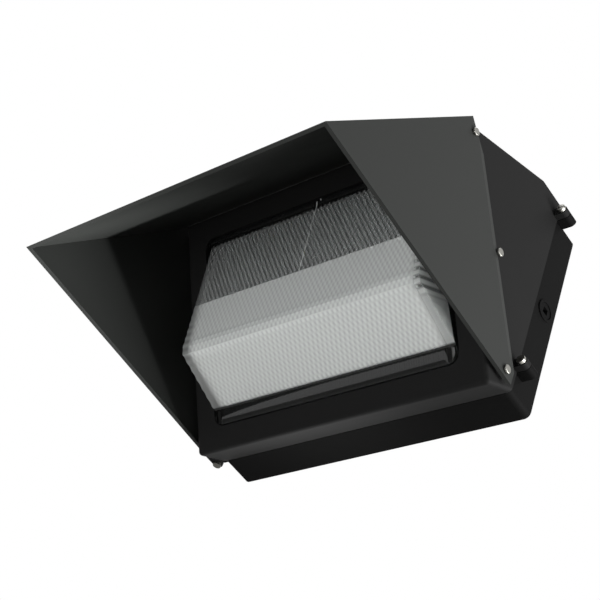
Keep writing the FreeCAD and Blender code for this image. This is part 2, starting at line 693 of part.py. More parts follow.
def conduit_plugs():
    """Threaded plugs in the two side entries, each with a square key socket."""
    body = new_body("conduit_plugs")
    blank = new_sketch(body, "YZ", "half_width + conduit_ring_rise - plug_inset - plug_length")
    disc(blank, "- conduit_depth", "conduit_level", "conduit_radius")
    plug = pad(body, blank, "plug_length")
    key = new_sketch(body, "YZ", "half_width + conduit_ring_rise - plug_inset")
    rectangle(key, "- conduit_depth - plug_key", "- conduit_depth + plug_key",
              "conduit_level - plug_key", "conduit_level + plug_key")
    cut = pocket(body, key, "plug_key_deep")
    mirror(body, [plug, cut])


def hinge_pins():
    """Headed pins, tight in the rear ears, on which the door ears turn."""
    body = new_body("hinge_pins")
    shank = new_sketch(body, "XY", "ear_low")
    disc(shank, "- hinge_x", "- rear_depth", "pin_radius")
    stem = pad(body, shank, "door_ear_high - ear_low + head_play")
    cap = new_sketch(body, "XY", "door_ear_high + head_play")
    disc(cap, "- hinge_x", "- rear_depth", "pin_head")
    head = pad(body, cap, "pin_head_rise")
    mirror(body, [stem, head], "XY")


def small_screws(label, plane_lift, centres):
    """Pan head screws that face the front, heads on a sheet at the given depth."""
    body = new_body(label)
    heads = new_sketch(body, "XZ", plane_lift)
    for across, along in centres:
        disc(heads, across, along, "screw_head")
    pad(body, heads, "screw_head_rise")
    shanks = new_sketch(body, "XZ", "mouth_depth - screw_bite")
    for across, along in centres:
        disc(shanks, across, along, "screw_radius")
    stems = pad(body, shanks, "screw_bite")
    bind(stems, "Length", plane_lift + " - mouth_depth + screw_bite")
    return body


def gear_bracket():
    """Steel tray that carries the ballast gear, bent up along its lower edge."""
    body = new_body("gear_bracket")
    plate = new_sketch(body, "XZ", "mouth_depth")
    rectangle(plate, "- tray_half", "tray_half", "tray_low", "tray_high")
    pad(body, plate, "bracket_sheet")
    lip = new_sketch(body, "XZ", "mouth_depth")
    rectangle(lip, "- tray_half", "tray_half", "tray_low", "tray_low + bracket_sheet")
    pad(body, lip, "bracket_sheet + tray_lip")
    holes = new_sketch(body, "XZ", "tray_front")
    for across, along in tray_screws():
        disc(holes, across, along, "screw_radius")
    pocket(body, holes, "bracket_sheet")
    small_screws("gear_bracket_screws", "tray_front", tray_screws())


def ballast_core():
    """Stack of steel laminations with two windows round a middle leg."""
    body = new_body("ballast_core")
    stack = new_sketch(body, "XY", "core_low")
    rectangle(stack, "- core_half", "core_half", "- core_front", "- tray_front")
    rectangle(stack, "leg_half", "window_half", "- core_window_front", "- core_window_back")
    rectangle(stack, "- window_half", "- leg_half", "- core_window_front", "- core_window_back")
    for side in ("", "- "):
        for depth in ("- core_bolt_back", "- core_bolt_front"):
            disc(stack, side + "core_bolt_x", depth, "core_bolt")
    pad(body, stack, "core_stack")


def ballast_coil():
    """Wound coil round the middle leg, filling both windows."""
    body = new_body("ballast_coil")
    ring = new_sketch(body, "XZ", "core_window_back + coil_play")
    rounded(ring, "- window_half + coil_play", "window_half - coil_play",
            "core_low - coil_turn", "core_high + coil_turn", "coil_turn")
    rectangle(ring, "- leg_half - coil_play", "leg_half + coil_play",
              "core_low - coil_play", "core_high + coil_play")
    winding = pad(body, ring, "core_window_front")
    bind(winding, "Length", "core_window_front - core_window_back - coil_play - coil_play")


def ballast_bolts():
    """Four bolts through the lamination stack, heads up and nuts down."""
    body = new_body("ballast_bolts")
    places = [(side + "core_bolt_x", depth)
              for side in ("", "- ") for depth in ("- core_bolt_back", "- core_bolt_front")]
    stems = new_sketch(body, "XY", "core_low")
    for across, along in places:
        disc(stems, across, along, "core_bolt")
    pad(body, stems, "core_stack")
    for lift, down in (("core_high", False), ("core_low", True)):
        heads = new_sketch(body, "XY", lift)
        for across, along in places:
            disc(heads, across, along, "core_bolt_head")
        pad(body, heads, "screw_head_rise", back=down)


def capacitor():
    """Oval metal can standing on the tray, held by a strap with two feet."""
    body = new_body("capacitor")
    can = new_sketch(body, "XZ", "tray_front")
    rounded(can, "can_left", "can_right", "can_low", "can_high", "can_round")
    pad(body, can, "can_long")

    strap = new_body("capacitor_strap")
    band = new_sketch(strap, "XZ", "tray_front")
    rounded(band, "can_left - strap", "can_right + strap", "can_low - strap", "can_high + strap",
            "strap_round")
    rounded(band, "can_left", "can_right", "can_low", "can_high", "can_round")
    pad(strap, band, "strap_wide")
    for low, high in (("can_low - strap_foot", "can_low - strap"),
                      ("can_high + strap", "can_high + strap_foot")):
        foot = new_sketch(strap, "XZ", "tray_front")
        grow = " + bridge" if low == "can_low - strap_foot" else ""
        root = " - bridge" if low == "can_high + strap" else ""
        rectangle(foot, "can_x - strap_foot", "can_x + strap_foot", low + root, high + grow)
        pad(strap, foot, "strap")


def ignitor():
    """Potted plastic block of the starting circuit, left of the ballast."""
    body = new_body("ignitor")
    block = new_sketch(body, "XZ", "tray_front")
    rounded(block, "- ignitor_far", "- ignitor_near", "ignitor_low", "ignitor_high", "small_round")
    pad(body, block, "ignitor_deep")


def terminal_block():
    """Plastic block with brass clamping screws, screwed down at both ends."""
    body = new_body("terminal_block")
    ears = new_sketch(body, "XZ", "mouth_depth")
    rectangle(ears, "- terminal_ear", "terminal_ear", "- terminal_mid - small_boss",
              "- terminal_mid + small_boss")
    pad(body, ears, "bracket_sheet")
    block = new_sketch(body, "XZ", "mouth_depth")
    rectangle(block, "- terminal_half", "terminal_half", "- terminal_low", "- terminal_high")
    pad(body, block, "terminal_deep")
    slots = new_sketch(body, "XZ", "mouth_depth + terminal_deep")
    for low, high in (("- terminal_low", "- terminal_low + terminal_slot"),
                      ("- terminal_high - terminal_slot", "- terminal_high")):
        rectangle(slots, "- terminal_half + bridge", "terminal_half - bridge", low, high)
    pocket(body, slots, "terminal_slot")
    holes = new_sketch(body, "XZ", "mouth_depth + bracket_sheet")
    for across, along in block_screws():
        disc(holes, across, along, "screw_radius")
    pocket(body, holes, "bracket_sheet")
    wells = new_sketch(body, "XZ", "mouth_depth + terminal_deep")
    for across in ("0", "terminal_pitch", "- terminal_pitch"):
        disc(wells, across, "- terminal_mid", "screw_head")
    pocket(body, wells, "screw_head_rise")
    small_screws("terminal_block_screws", "mouth_depth + bracket_sheet", block_screws())

    clamps = new_body("terminal_clamp_screws")
    heads = new_sketch(clamps, "XZ", "mouth_depth + terminal_deep - screw_head_rise")
    for across in ("0", "terminal_pitch", "- terminal_pitch"):
        disc(heads, across, "- terminal_mid", "screw_head")
    pad(clamps, heads, "screw_head_rise")


def ground_screw():
    """Earthing screw in its own boss."""
    small_screws("ground_screw", "mouth_depth", [("- ground_x", "- ground_level")])


# ---------------------------------------------------------------- reflector and lamp
def reflector():
    """Spun-look aluminium tray behind the glass, open to the front, with a hole for the lamp."""
    body = new_body("reflector")
    seat_on_face(body)
    mouth = new_sketch(body, "XY", "- reflector_front")
    rounded(mouth, "- reflector_half", "reflector_half", "- reflector_tall", "reflector_tall",
            "reflector_round")
    back = new_sketch(body, "XY", "- reflector_back")
    rounded(back, "- reflector_back_half", "reflector_back_half", "- reflector_back_tall",
            "reflector_back_tall", "reflector_round")
    loft(body, "AdditiveLoft", back, mouth)
    inner_mouth = new_sketch(body, "XY", "- reflector_front")
    inset = " - reflector_sheet"
    rounded(inner_mouth, "- reflector_half + reflector_sheet", "reflector_half" + inset,
            "- reflector_tall + reflector_sheet", "reflector_tall" + inset, "reflector_inner_round")
    inner_back = new_sketch(body, "XY", "- reflector_back + reflector_sheet")
    rounded(inner_back, "- reflector_back_half + reflector_sheet", "reflector_back_half" + inset,
            "- reflector_back_tall + reflector_sheet", "reflector_back_tall" + inset,
            "reflector_inner_round")
    loft(body, "SubtractiveLoft", inner_back, inner_mouth)
    hole = new_sketch(body, "YZ", "- reflector_half - cut_over")
    disc(hole, "lamp_slope", "- lamp_behind", "lamp_hole")
    pocket(body, hole, "cut_over + cut_over + cut_over", back=True)
    screw_holes = new_sketch(body, "XY", "- reflector_back")
    for across, along in reflector_screw_places():
        disc(screw_holes, across, along, "screw_radius")
    pocket(body, screw_holes, "reflector_sheet", back=True)


def reflector_screw_places():
    return [("arm_x + arm_tab_mid", "arm_screw"), ("arm_x + arm_tab_mid", "- arm_screw"),
            ("- arm_x - arm_tab_mid", "arm_screw"), ("- arm_x - arm_tab_mid", "- arm_screw")]


def reflector_arms():
    """Two sheet steel arms from the rear housing to the reflector's back."""
    for label, side in (("reflector_arm_right", ""), ("reflector_arm_left", "- ")):
        body = new_body(label)
        web = new_sketch(body, "YZ", "arm_x" if side == "" else "- arm_x - bracket_sheet")
        polygon(web, [("- mouth_depth", "- arm_foot_low"), ("- mouth_depth", "arm_foot_high"),
                      ("- arm_high_depth", "arm_high_level"), ("- arm_low_depth", "arm_low_level")])
        pad(body, web, "bracket_sheet")
        near, far = ("arm_x", "arm_x + arm_tab")
        if side:
            near, far = ("- arm_x - arm_tab", "- arm_x")
        foot = new_sketch(body, "XZ", "mouth_depth")
        rectangle(foot, near, far, "- arm_foot_low", "arm_foot_high")
        pad(body, foot, "bracket_sheet")
        tab = face_sketch(body, "- arm_front")
        rectangle(tab, near, far, "- arm_tab_half", "arm_tab_half")
        pad(body, tab, "bracket_sheet")
        middle = "arm_x + arm_tab_mid" if side == "" else "- arm_x - arm_tab_mid"
        foot_holes = new_sketch(body, "XZ", "tray_front")
        for level in ("arm_foot_tap_high", "- arm_foot_tap_low"):
            disc(foot_holes, middle, level, "screw_radius")
        pocket(body, foot_holes, "bracket_sheet")
        tab_holes = face_sketch(body, "- reflector_back")
        for slope in ("arm_screw", "- arm_screw"):
            disc(tab_holes, middle, slope, "screw_radius")
        pocket(body, tab_holes, "bracket_sheet")
    small_screws("reflector_arm_screws", "tray_front", arm_screws())

    screws = new_body("reflector_screws")
    seat_on_face(screws)
    heads = new_sketch(screws, "XY", "- reflector_back + reflector_sheet")
    shanks = new_sketch(screws, "XY", "- arm_front - screw_head_rise")
    for across, along in reflector_screw_places():
        disc(heads, across, along, "screw_head")
        disc(shanks, across, along, "screw_radius")
    pad(screws, heads, "screw_head_rise")
    pad(screws, shanks, "screw_head_rise + bracket_sheet + reflector_sheet")


def lamp_socket():
    """Porcelain lamp holder with a brass screw shell, on a steel bracket."""
    body = new_body("lamp_socket")
    seat_on_lamp_axis(body)
    turned(body, [("- socket_end", "0"), ("- socket_end", "socket_radius"),
                  ("- socket_mouth", "socket_radius"), ("- socket_mouth", "shell_outside"),
                  ("- shell_back", "shell_outside"), ("- shell_back", "0")])

    shell = new_body("socket_shell")
    seat_on_lamp_axis(shell)
    turned(shell, [("- shell_back", "shell_inside"), ("- shell_back", "shell_outside"),
                   ("- socket_mouth", "shell_outside"), ("- socket_mouth", "shell_inside")])

    bracket = new_body("socket_bracket")
    web = new_sketch(bracket, "YZ", "- socket_plate")
    polygon(web, [("- mouth_depth", "- socket_foot_low"), ("- mouth_depth", "- socket_foot_high"),
                  ("- lamp_depth", "lamp_level + socket_neck"),
                  ("- lamp_depth - socket_neck", "lamp_level + socket_neck"),
                  ("- lamp_depth - socket_neck", "lamp_level - socket_neck"),
                  ("- lamp_depth", "lamp_level - socket_neck")])
    pad(bracket, web, "bracket_sheet")
    foot = new_sketch(bracket, "XZ", "mouth_depth")
    rectangle(foot, "- socket_plate", "- socket_plate + socket_foot", "- socket_foot_low",
              "- socket_foot_high")
    pad(bracket, foot, "bracket_sheet")
    holes = new_sketch(bracket, "XZ", "tray_front")
    for across, along in socket_screws():
        disc(holes, across, along, "screw_radius")
    pocket(bracket, holes, "bracket_sheet")
    small_screws("socket_bracket_screws", "tray_front", socket_screws())


def lamp():
    """Discharge lamp: screw base, elliptical bulb and the arc tube on its frame."""
    base = new_body("lamp_base")
    seat_on_lamp_axis(base)
    turned(base, [("- lamp_tip", "0"), ("- lamp_tip", "contact_radius"),
                  ("- lamp_tip + contact_rise", "lamp_base"), ("- lamp_neck_x", "lamp_base"),
                  ("- lamp_neck_x", "0")])

    bulb = DOC.addObject("Part::Feature", "lamp_bulb")
    bulb.Label = "lamp_bulb"
    neck = -size("lamp_neck_x")
    outer = bulb_profile(neck, size("bulb_long"), size("neck_radius"), size("bulb_radius"))
    skin = size("bulb_glass")
    inner = bulb_profile(neck, size("bulb_long") - skin, size("neck_radius") - skin,
                         size("bulb_radius") - skin)
    bulb.Shape = outer.cut(inner)
    bulb.Placement = Placement(Vector(0, -size("lamp_depth"), size("lamp_level")), Rotation())
    NODES.append(bulb)

    tube = new_body("arc_tube")
    seat_on_lamp_axis(tube)
    turned(tube, [("- lamp_neck_x + arc_place - arc_half", "0"),
                  ("- lamp_neck_x + arc_place - arc_half", "arc_end"),
                  ("- lamp_neck_x + arc_place - arc_half + arc_end", "arc_radius"),
                  ("- lamp_neck_x + arc_place + arc_half - arc_end", "arc_radius"),
                  ("- lamp_neck_x + arc_place + arc_half", "arc_end"),
                  ("- lamp_neck_x + arc_place + arc_half", "0")])

    mount = new_body("arc_tube_mount")
    seat_on_lamp_axis(mount)
    turned(mount, [("- lamp_neck_x", "0"), ("- lamp_neck_x", "neck_radius - arc_end - arc_end"),
                   ("- lamp_neck_x + arc_radius", "arc_end"),
                   ("- lamp_neck_x + arc_place - arc_half", "arc_end"),
                   ("- lamp_neck_x + arc_place - arc_half", "0")])


def bulb_profile(start, length, neck, belly):
    """Solid bulb along X: a neck that swells in one curve to a round end."""
    widest = start + length - belly
    shoulder = start + length * 0.22
    spline = Part.BSplineCurve()
    spline.interpolate([Vector(shoulder, neck, 0), Vector((shoulder + widest) / 2, belly * 0.86, 0),
                        Vector(widest, belly, 0)],
                       InitialTangent=Vector(60, 12, 0), FinalTangent=Vector(60, 0, 0))
    end = Vector(start + length, 0, 0)
    half = math.sqrt(0.5) * belly
    cap = Part.Arc(Vector(widest, belly, 0), Vector(widest + half, half, 0), end)
    edges = [Part.LineSegment(Vector(start, 0, 0), Vector(start, neck, 0)).toShape(),
             Part.LineSegment(Vector(start, neck, 0), Vector(shoulder, neck, 0)).toShape(),
             spline.toShape(), cap.toShape(),
             Part.LineSegment(end, Vector(start, 0, 0)).toShape()]
    face = Part.Face(Part.Wire(edges))
    return face.revolve(Vector(0, 0, 0), Vector(1, 0, 0), 360)


# ---------------------------------------------------------------- door and what it carries
def front_housing():
    """Deep cast door: sloping front with the glass opening, hinged on the left."""
    body = new_body("front_housing")
    side_view = new_sketch(body, "YZ")
    polygon(side_view, [("- door_back", "crown_level"), ("- crown_depth", "crown_level"),
                        ("- brow_depth", "brow_level"), ("- face_top_depth", "face_top_level"),
                        ("- lip_depth", "- lip_level"), ("- door_back", "- half_height")])
    pad(body, side_view, "door_width", both=True)
    rim = -size("door_back")
    solid = body.Tip
    shell = body.newObject("PartDesign::Thickness", "door_shell")
    open_side = ["Face%d" % (i + 1) for i, face in enumerate(solid.Shape.Faces)
                 if face.BoundBox.YMin > rim - 0.01]
    shell.Base = (solid, open_side)
    bind(shell, "Value", "door_wall")
    shell.Mode = "Skin"
    shell.Join = "Intersection"
    shell.Reversed = True
    body.Tip = shell
    DOC.recompute()
    outer = outer_edges(size("door_half"), rim)
    round_edges(body, outer, "door_round")

    flange = new_sketch(body, "XZ", "door_back")
    rounded(flange, "- door_half + bridge", "door_half - bridge", "- half_height + bridge",
            "crown_level - bridge", "door_round")
    rounded(flange, "- half_width + rim_wall", "half_width - rim_wall",
            "- half_height + rim_wall", "half_height - rim_wall", "cavity_round")
    pad(body, flange, "door_flange")

    opening = face_sketch(body, "0")
    rounded(opening, "- opening_half", "opening_half", "- opening_tall", "opening_tall",
            "opening_round")
    pocket(body, opening, "door_wall + bridge")

    bosses = face_sketch(body, "- lens_back")
    taps = face_sketch(body, "- lens_back")
    for across, along in clip_places():
        disc(bosses, across, along, "small_boss")
        disc(taps, across, along, "screw_radius")
    pad(body, bosses, "lens_back - door_wall + bridge")
    pocket(body, taps, "screw_bite", back=True)

    seats = new_sketch(body, "YZ", "door_half - bridge")
    holes = new_sketch(body, "YZ", "hood_inside")
    for across, along in hood_screw_places():
        disc(seats, across, along, "hood_boss")
        disc(holes, across, along, "hood_thread")
    raised = pad(body, seats, "hood_stand + bridge")
    drilled = pocket(body, holes, "hood_stand + door_wall")
    mirror(body, [raised, drilled])

    for level in ("lug_top_level", "- lug_low_level"):
        web = new_sketch(body, "XZ", "door_back")
        rectangle(web, "door_half - bridge", "lug_x", level + " - lug_radius",
                  level + " + lug_radius")
        pad(body, web, "door_lug")
        boss = new_sketch(body, "XZ", "door_back")
        disc(boss, "lug_x", level, "lug_radius")
        pad(body, boss, "door_lug")
        bore = new_sketch(body, "XZ", "lug_front")
        disc(bore, "lug_x", level, "closing_bore")
        pocket(body, bore, "door_lug")

    for base_level in ("door_ear_low", "- door_ear_high"):
        block = new_sketch(body, "XY", base_level)
        rectangle(block, "- hinge_x - ear_radius", "- door_half + bridge",
                  "- rear_depth - ear_reach", "- door_back")
        pad(body, block, "ear_thick")
        knuckle = new_sketch(body, "XY", base_level)
        disc(knuckle, "- hinge_x", "- rear_depth", "ear_radius")
        pad(body, knuckle, "ear_thick")
    pin_bore = new_sketch(body, "XY")
    disc(pin_bore, "- hinge_x", "- rear_depth", "door_pin_bore")
    pocket(body, pin_bore, both=True)


def outer_edges(half, rim):
    """Chooser of the edges on the outside of the door, all but those on its rear rim."""
    wall = size("door_wall")

    def chosen(edge):
        middle = edge.CenterOfMass
        if middle.y > rim - 0.1:
            return False
        if abs(middle.x) > half - 0.01:
            return True
        ends = [abs(vertex.X) for vertex in edge.Vertexes]
        return min(ends) > half - wall + 0.01
    return chosen


def clip_places():
    return [(across, along)
            for along in ("clip_slope", "- clip_slope")
            for across in ("- clip_x", "0", "clip_x")]


def hood_screw_places():
    return [("- bolt_a_depth", "bolt_a_level"), ("- bolt_b_depth", "bolt_b_level"),
            ("- bolt_c_depth", "bolt_c_level")]


def lens():
    """Pressed glass refractor: flat flange, plinth in the opening and a hollow raised nose."""
    body = new_body("lens")
    seat_on_face(body)
    flange = new_sketch(body, "XY", "- lens_back")
    rounded(flange, "- flange_half", "flange_half", "- flange_tall", "flange_tall", "opening_round")
    pad(body, flange, "glass")
    plinth = new_sketch(body, "XY", "- lens_seat")
    rounded(plinth, "- plinth_half", "plinth_half", "- plinth_tall", "plinth_tall",
            "opening_round - lens_gap")
    pad(body, plinth, "lens_seat + plinth_rise")
    foot = new_sketch(body, "XY", "plinth_rise")
    polygon(foot, bowl_corners(""))
    ridge = new_sketch(body, "XY", "nose_rise")
    rectangle(ridge, "- nose_half", "nose_half", "- nose_low", "nose_top")
    loft(body, "AdditiveLoft", foot, ridge)
    recess = new_sketch(body, "XY", "- lens_back")
    polygon(recess, bowl_corners("glass"))
    pocket(body, recess, "glass + plinth_rise + plinth_rise", back=True)
    inner_foot = new_sketch(body, "XY", "plinth_rise + plinth_rise - lens_seat")
    polygon(inner_foot, bowl_corners("glass"))
    inner_ridge = new_sketch(body, "XY", "nose_rise - glass")
    rectangle(inner_ridge, "- nose_half + glass", "nose_half - glass", "- nose_low", "nose_top")
    loft(body, "SubtractiveLoft", inner_foot, inner_ridge)


def bowl_corners(inset):
    """Four corners of the raised glass at its foot, drawn in by the named inset."""
    less = " - " + inset if inset else ""
    more = " + " + inset if inset else ""
    return [("- bowl_half" + more, "- bowl_drop" + more), ("bowl_half" + less, "- bowl_drop" + more),
            ("bowl_top_half" + less, "bowl_top" + less),
            ("- bowl_top_half" + more, "bowl_top" + less)]


def lens_gasket():
    """Flat seal between the door's face and the glass flange."""
    body = new_body("lens_gasket")
    seat_on_face(body)
    ring = new_sketch(body, "XY", "- lens_seat")
    rounded(ring, "- flange_half", "flange_half", "- flange_tall", "flange_tall", "opening_round")
    rounded(ring, "- opening_half - lens_gap", "opening_half + lens_gap",
            "- opening_tall - lens_gap", "opening_tall + lens_gap", "opening_round")
    pad(body, ring, "lens_seal")


def lens_clips():
    """Spring steel clips that press the glass flange on its seal, with their screws."""
    body = new_body("lens_clips")
    seat_on_face(body)
    strips = new_sketch(body, "XY", "- clip_back")
    for across, along in clip_places():
        inward = " - clip_reach" if along == "clip_slope" else " + clip_reach"
        outward = " + clip_tail" if along == "clip_slope" else " - clip_tail"
        ends = sorted([along + inward, along + outward], key=size)
        rectangle(strips, across + " - clip_half_wide", across + " + clip_half_wide",
                  ends[0], ends[1])
        disc(strips, across, along, "screw_radius")
    pad(body, strips, "clip_sheet")

    screws = new_body("lens_clip_screws")
    seat_on_face(screws)
    heads = new_sketch(screws, "XY", "- clip_back")
    shanks = new_sketch(screws, "XY", "- clip_back")
    for across, along in clip_places():
        disc(heads, across, along, "screw_head")
        disc(shanks, across, along, "screw_radius")
    pad(screws, heads, "screw_head_rise", back=True)
    pad(screws, shanks, "clip_sheet + screw_bite")


def hood():
    """Folded steel visor: one top panel and two sides, hemmed inwards along the open edges."""
    body = new_body("hood")
    side_view = new_sketch(body, "YZ")
    polygon(side_view, [("- hood_reach", "- hood_front_drop"), ("- hood_rear_depth", "hood_rear_level"),
                        ("- hood_a_depth", "hood_a_level"), ("- hood_b_depth", "hood_b_level"),
                        ("- hood_tip_depth", "- hood_tip_drop")])
    pad(body, side_view, "hood_width", both=True)
    inside = new_sketch(body, "YZ")
    polygon(inside, [("- inner_front_depth", "- inner_front_drop"),
                     ("- inner_rear_depth", "inner_rear_level"), ("0", "inner_rear_level"),
                     ("0", "- hood_reach"), ("- inner_front_depth", "- hood_reach")])
    pocket(body, inside, "hood_clear", both=True)

    frame = new_sketch(body, "XY")
    turn = Rotation(Vector(1, 0, 0), -size("hem_fall"))
    place = Vector(0, -size("hood_reach"), -size("hood_front_drop"))
    frame.AttachmentOffset = Placement(place, turn)
    bind(frame, "AttachmentOffset.Base.y", "- hood_reach")
    bind(frame, "AttachmentOffset.Base.z", "- hood_front_drop")
    bind(frame, "AttachmentOffset.Rotation.Angle", "- hem_fall")
    polygon(frame, [("- hood_half", "hood_sheet"), ("hood_half", "hood_sheet"),
                    ("hood_half", "hem_length"), ("hem_inside", "hem_length"),
                    ("hem_inside", "hood_sheet + hem"), ("- hem_inside", "hood_sheet + hem"),
                    ("- hem_inside", "hem_length"), ("- hood_half", "hem_length")])
    pad(body, frame, "hood_sheet")

    holes = new_sketch(body, "YZ")
    for across, along in hood_screw_places():
        disc(holes, across, along, "hood_thread")
    pocket(body, holes, both=True)


def hood_screws():
    """Three pan head screws through each side of the hood into the door's bosses."""
    body = new_body("hood_screws")
    heads = new_sketch(body, "YZ", "hood_half")
    shanks = new_sketch(body, "YZ", "hood_half - hood_shank")
    for across, along in hood_screw_places():
        disc(heads, across, along, "hood_head")
        disc(shanks, across, along, "hood_thread")
    caps = pad(body, heads, "hood_head_rise")
    stems = pad(body, shanks, "hood_shank")
    mirror(body, [caps, stems])


def closing_screws():
    """Captive screws that draw the door onto the rear housing, one in each right-hand lug."""
    for label, level in (("closing_screw_upper", "lug_top_level"),
                         ("closing_screw_lower", "- lug_low_level")):
        body = new_body(label)
        shank = new_sketch(body, "XZ", "rear_depth - closing_grip")
        disc(shank, "lug_x", level, "closing_radius")
        pad(body, shank, "lug_front + head_play - rear_depth + closing_grip")
        cap = new_sketch(body, "XZ", "lug_front + head_play")
        disc(cap, "lug_x", level, "closing_head")
        pad(body, cap, "closing_head_rise")
        slot = new_sketch(body, "XZ", "lug_front + head_play + closing_head_rise")
        rectangle(slot, "lug_x - closing_head - bridge", "lug_x + closing_head + bridge",
                  level + " - slot_half", level + " + slot_half")
        pocket(body, slot, "slot_deep")


# ---------------------------------------------------------------- build, check and write
def check_model():
    """Stop on a failed object, an invalid shape or a cut that removes nothing."""
    for item in DOC.Objects:
        if "Invalid" in item.State or "Error" in item.State:
            raise RuntimeError("failed object: " + item.Name)
        if item.TypeId in ("PartDesign::Pocket", "PartDesign::SubtractiveLoft"):
            if item.Shape.Volume > item.BaseFeature.Shape.Volume - 0.01:
                raise RuntimeError("cut removes nothing: " + item.Name)
    for node in NODES:
        if node.Shape.isNull() or not node.Shape.isValid():
            raise RuntimeError("bad shape: " + node.Label)


def write_parts():
    os.makedirs("parts", exist_ok=True)
    for node in NODES:
        node.Shape.exportStep("parts/%s.step" % node.Label)
        box = node.Shape.BoundBox
        print("%-24s %3d solids %10.1f mm3  x %.1f..%.1f  y %.1f..%.1f  z %.1f..%.1f" % (
            node.Label, len(node.Shape.Solids), node.Shape.Volume,
            box.XMin, box.XMax, box.YMin, box.YMax, box.ZMin, box.ZMax))


def build():
    fill_sheet()
    rear_housing()
    housing_gasket()
    conduit_plugs()
    hinge_pins()
    gear_bracket()
    ballast_core()
    ballast_coil()
    ballast_bolts()
    capacitor()
    ignitor()
    terminal_block()
    ground_screw()
    reflector()
    reflector_arms()
    lamp_socket()
    lamp()
    front_housing()
    lens()
    lens_gasket()
    lens_clips()
    hood()
    hood_screws()
    closing_screws()
    DOC.recompute()
    check_model()
    write_parts()


build()
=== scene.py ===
# %% [markdown]
# A wall pack light: a black casting in two halves, with a pressed prismatic glass in its sloping
# front and a folded sheet hood over it.  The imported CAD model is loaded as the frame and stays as
# it is.  Pieces that need more than the CAD gives, such as softened edges or the prisms of the
# glass, are made here and take the place of their CAD node.  All other nodes only get a finish.
# %% Load the frame
import bpy
import bmesh
import json
import math
from mathutils import Matrix, Vector


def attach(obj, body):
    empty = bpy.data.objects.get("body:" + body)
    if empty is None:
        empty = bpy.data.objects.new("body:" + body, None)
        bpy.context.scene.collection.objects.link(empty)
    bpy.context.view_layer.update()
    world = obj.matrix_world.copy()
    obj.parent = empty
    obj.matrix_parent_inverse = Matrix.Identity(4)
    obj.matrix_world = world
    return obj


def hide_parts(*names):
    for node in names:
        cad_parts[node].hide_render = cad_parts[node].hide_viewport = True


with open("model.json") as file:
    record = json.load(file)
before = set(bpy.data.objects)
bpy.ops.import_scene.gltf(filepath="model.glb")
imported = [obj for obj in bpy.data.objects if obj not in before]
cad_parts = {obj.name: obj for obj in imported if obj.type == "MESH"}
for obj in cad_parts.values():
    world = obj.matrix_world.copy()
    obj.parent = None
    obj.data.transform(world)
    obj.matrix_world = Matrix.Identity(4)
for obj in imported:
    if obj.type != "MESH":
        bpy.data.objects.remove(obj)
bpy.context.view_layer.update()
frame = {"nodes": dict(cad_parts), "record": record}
NODES = frame["nodes"]
print("CAD nodes:", len(NODES))

# %% [markdown]
# The record says which body each node moves with and which material slot it has.  Only the
# bodies are read here: typed again for each piece they could drift apart from the record.
# %% Bodies
BODY = {node: body for body, nodes in frame["record"]["behaviour"]["bodies"].items()
        for node in nodes}
print("bodies:", sorted(set(BODY.values())))

# %% [markdown]
# Sizes are written in millimetres, as on a drawing, and MM turns them into Blender's metres.
# Colours are written as sRGB codes, as a picture editor shows them.  Shaders reckon in linear
# light, so one function turns a code into linear values.
# %% Units and colours
MM = 0.001


def srgb(code):
    """Linear RGBA of an sRGB hex code."""
    parts = [int(code[i:i + 2], 16) / 255 for i in (0, 2, 4)]
    return [c / 12.92 if c <= 0.04045 else ((c + 0.055) / 1.055) ** 2.4 for c in parts] + [1.0]


print("linear value of a middle grey:", round(srgb("808080")[0], 3))

# %% [markdown]
# Each finish is a tree of shader nodes.  It could be drawn by hand in the editor; here one small
# function adds a node, sets it and links it.  An input is called by its name, or by i and its
# number where a node has several inputs of one name, as Mix and Math have.  Patterns read Object
# coordinates, which are metres of the real object, because every piece sits unscaled at the origin.
# %% Shader nodes


def add(tree, kind, settings=None, **inputs):
    """Shader node of a kind, with settings and inputs; an input may be a constant or a socket."""
    item = tree.nodes.new("ShaderNode" + kind)
    for name, value in (settings or {}).items():
        setattr(item, name, value)
    for name, value in inputs.items():
        place = int(name[1:]) if name[0] == "i" and name[1:].isdigit() else name.replace("_", " ")
        socket = item.inputs[place]
        if isinstance(value, bpy.types.NodeSocket):
            tree.links.new(value, socket)
        else:
            socket.default_value = value
    return item


def material(name):
    """Empty material, its tree, its output node and the socket of Object coordinates."""
    made = bpy.data.materials.new(name)
    made.use_nodes = True
    tree = made.node_tree
    tree.nodes.clear()
    out = add(tree, "OutputMaterial")
    place = add(tree, "TexCoord").outputs["Object"]
    return made, tree, out, place


def finish_material(made, tree, out, shader):
    """The material with its shader linked to its output."""
    tree.links.new(shader.outputs[0], out.inputs["Surface"])
    print("finish:", made.name, "nodes:", len(tree.nodes))
    return made


# %% [markdown]
# The sloping front of the door is called the face.  The glass and the hood are placed from it, so
# the scene measures from it too: x across, slope up the face from its middle, and proud outwards
# from it.  Its lower lip, its tilt and its length are enough to find it in the frame, and the same
# reckoning is done for points, for directions and inside a shader.
# %% The face
LIP = Vector((0, -80, -162)) * MM
TILT = math.radians(33.7)
FACE_LENGTH = 289.5
UP_FACE = Vector((0, -math.sin(TILT), math.cos(TILT)))
OFF_FACE = Vector((0, -math.cos(TILT), -math.sin(TILT)))
MIDDLE = LIP + UP_FACE * FACE_LENGTH / 2 * MM


def to_face(vector):
    """The x, slope and proud parts of a direction."""
    return Vector((vector.x, vector.dot(UP_FACE), vector.dot(OFF_FACE)))


def from_face(vector):
    """The direction in the frame that has these x, slope and proud parts."""
    return Vector((vector.x, 0, 0)) + UP_FACE * vector.y + OFF_FACE * vector.z


def face_place(point):
    """The x, slope and proud of a point, in millimetres."""
    return to_face((point - MIDDLE) / MM)


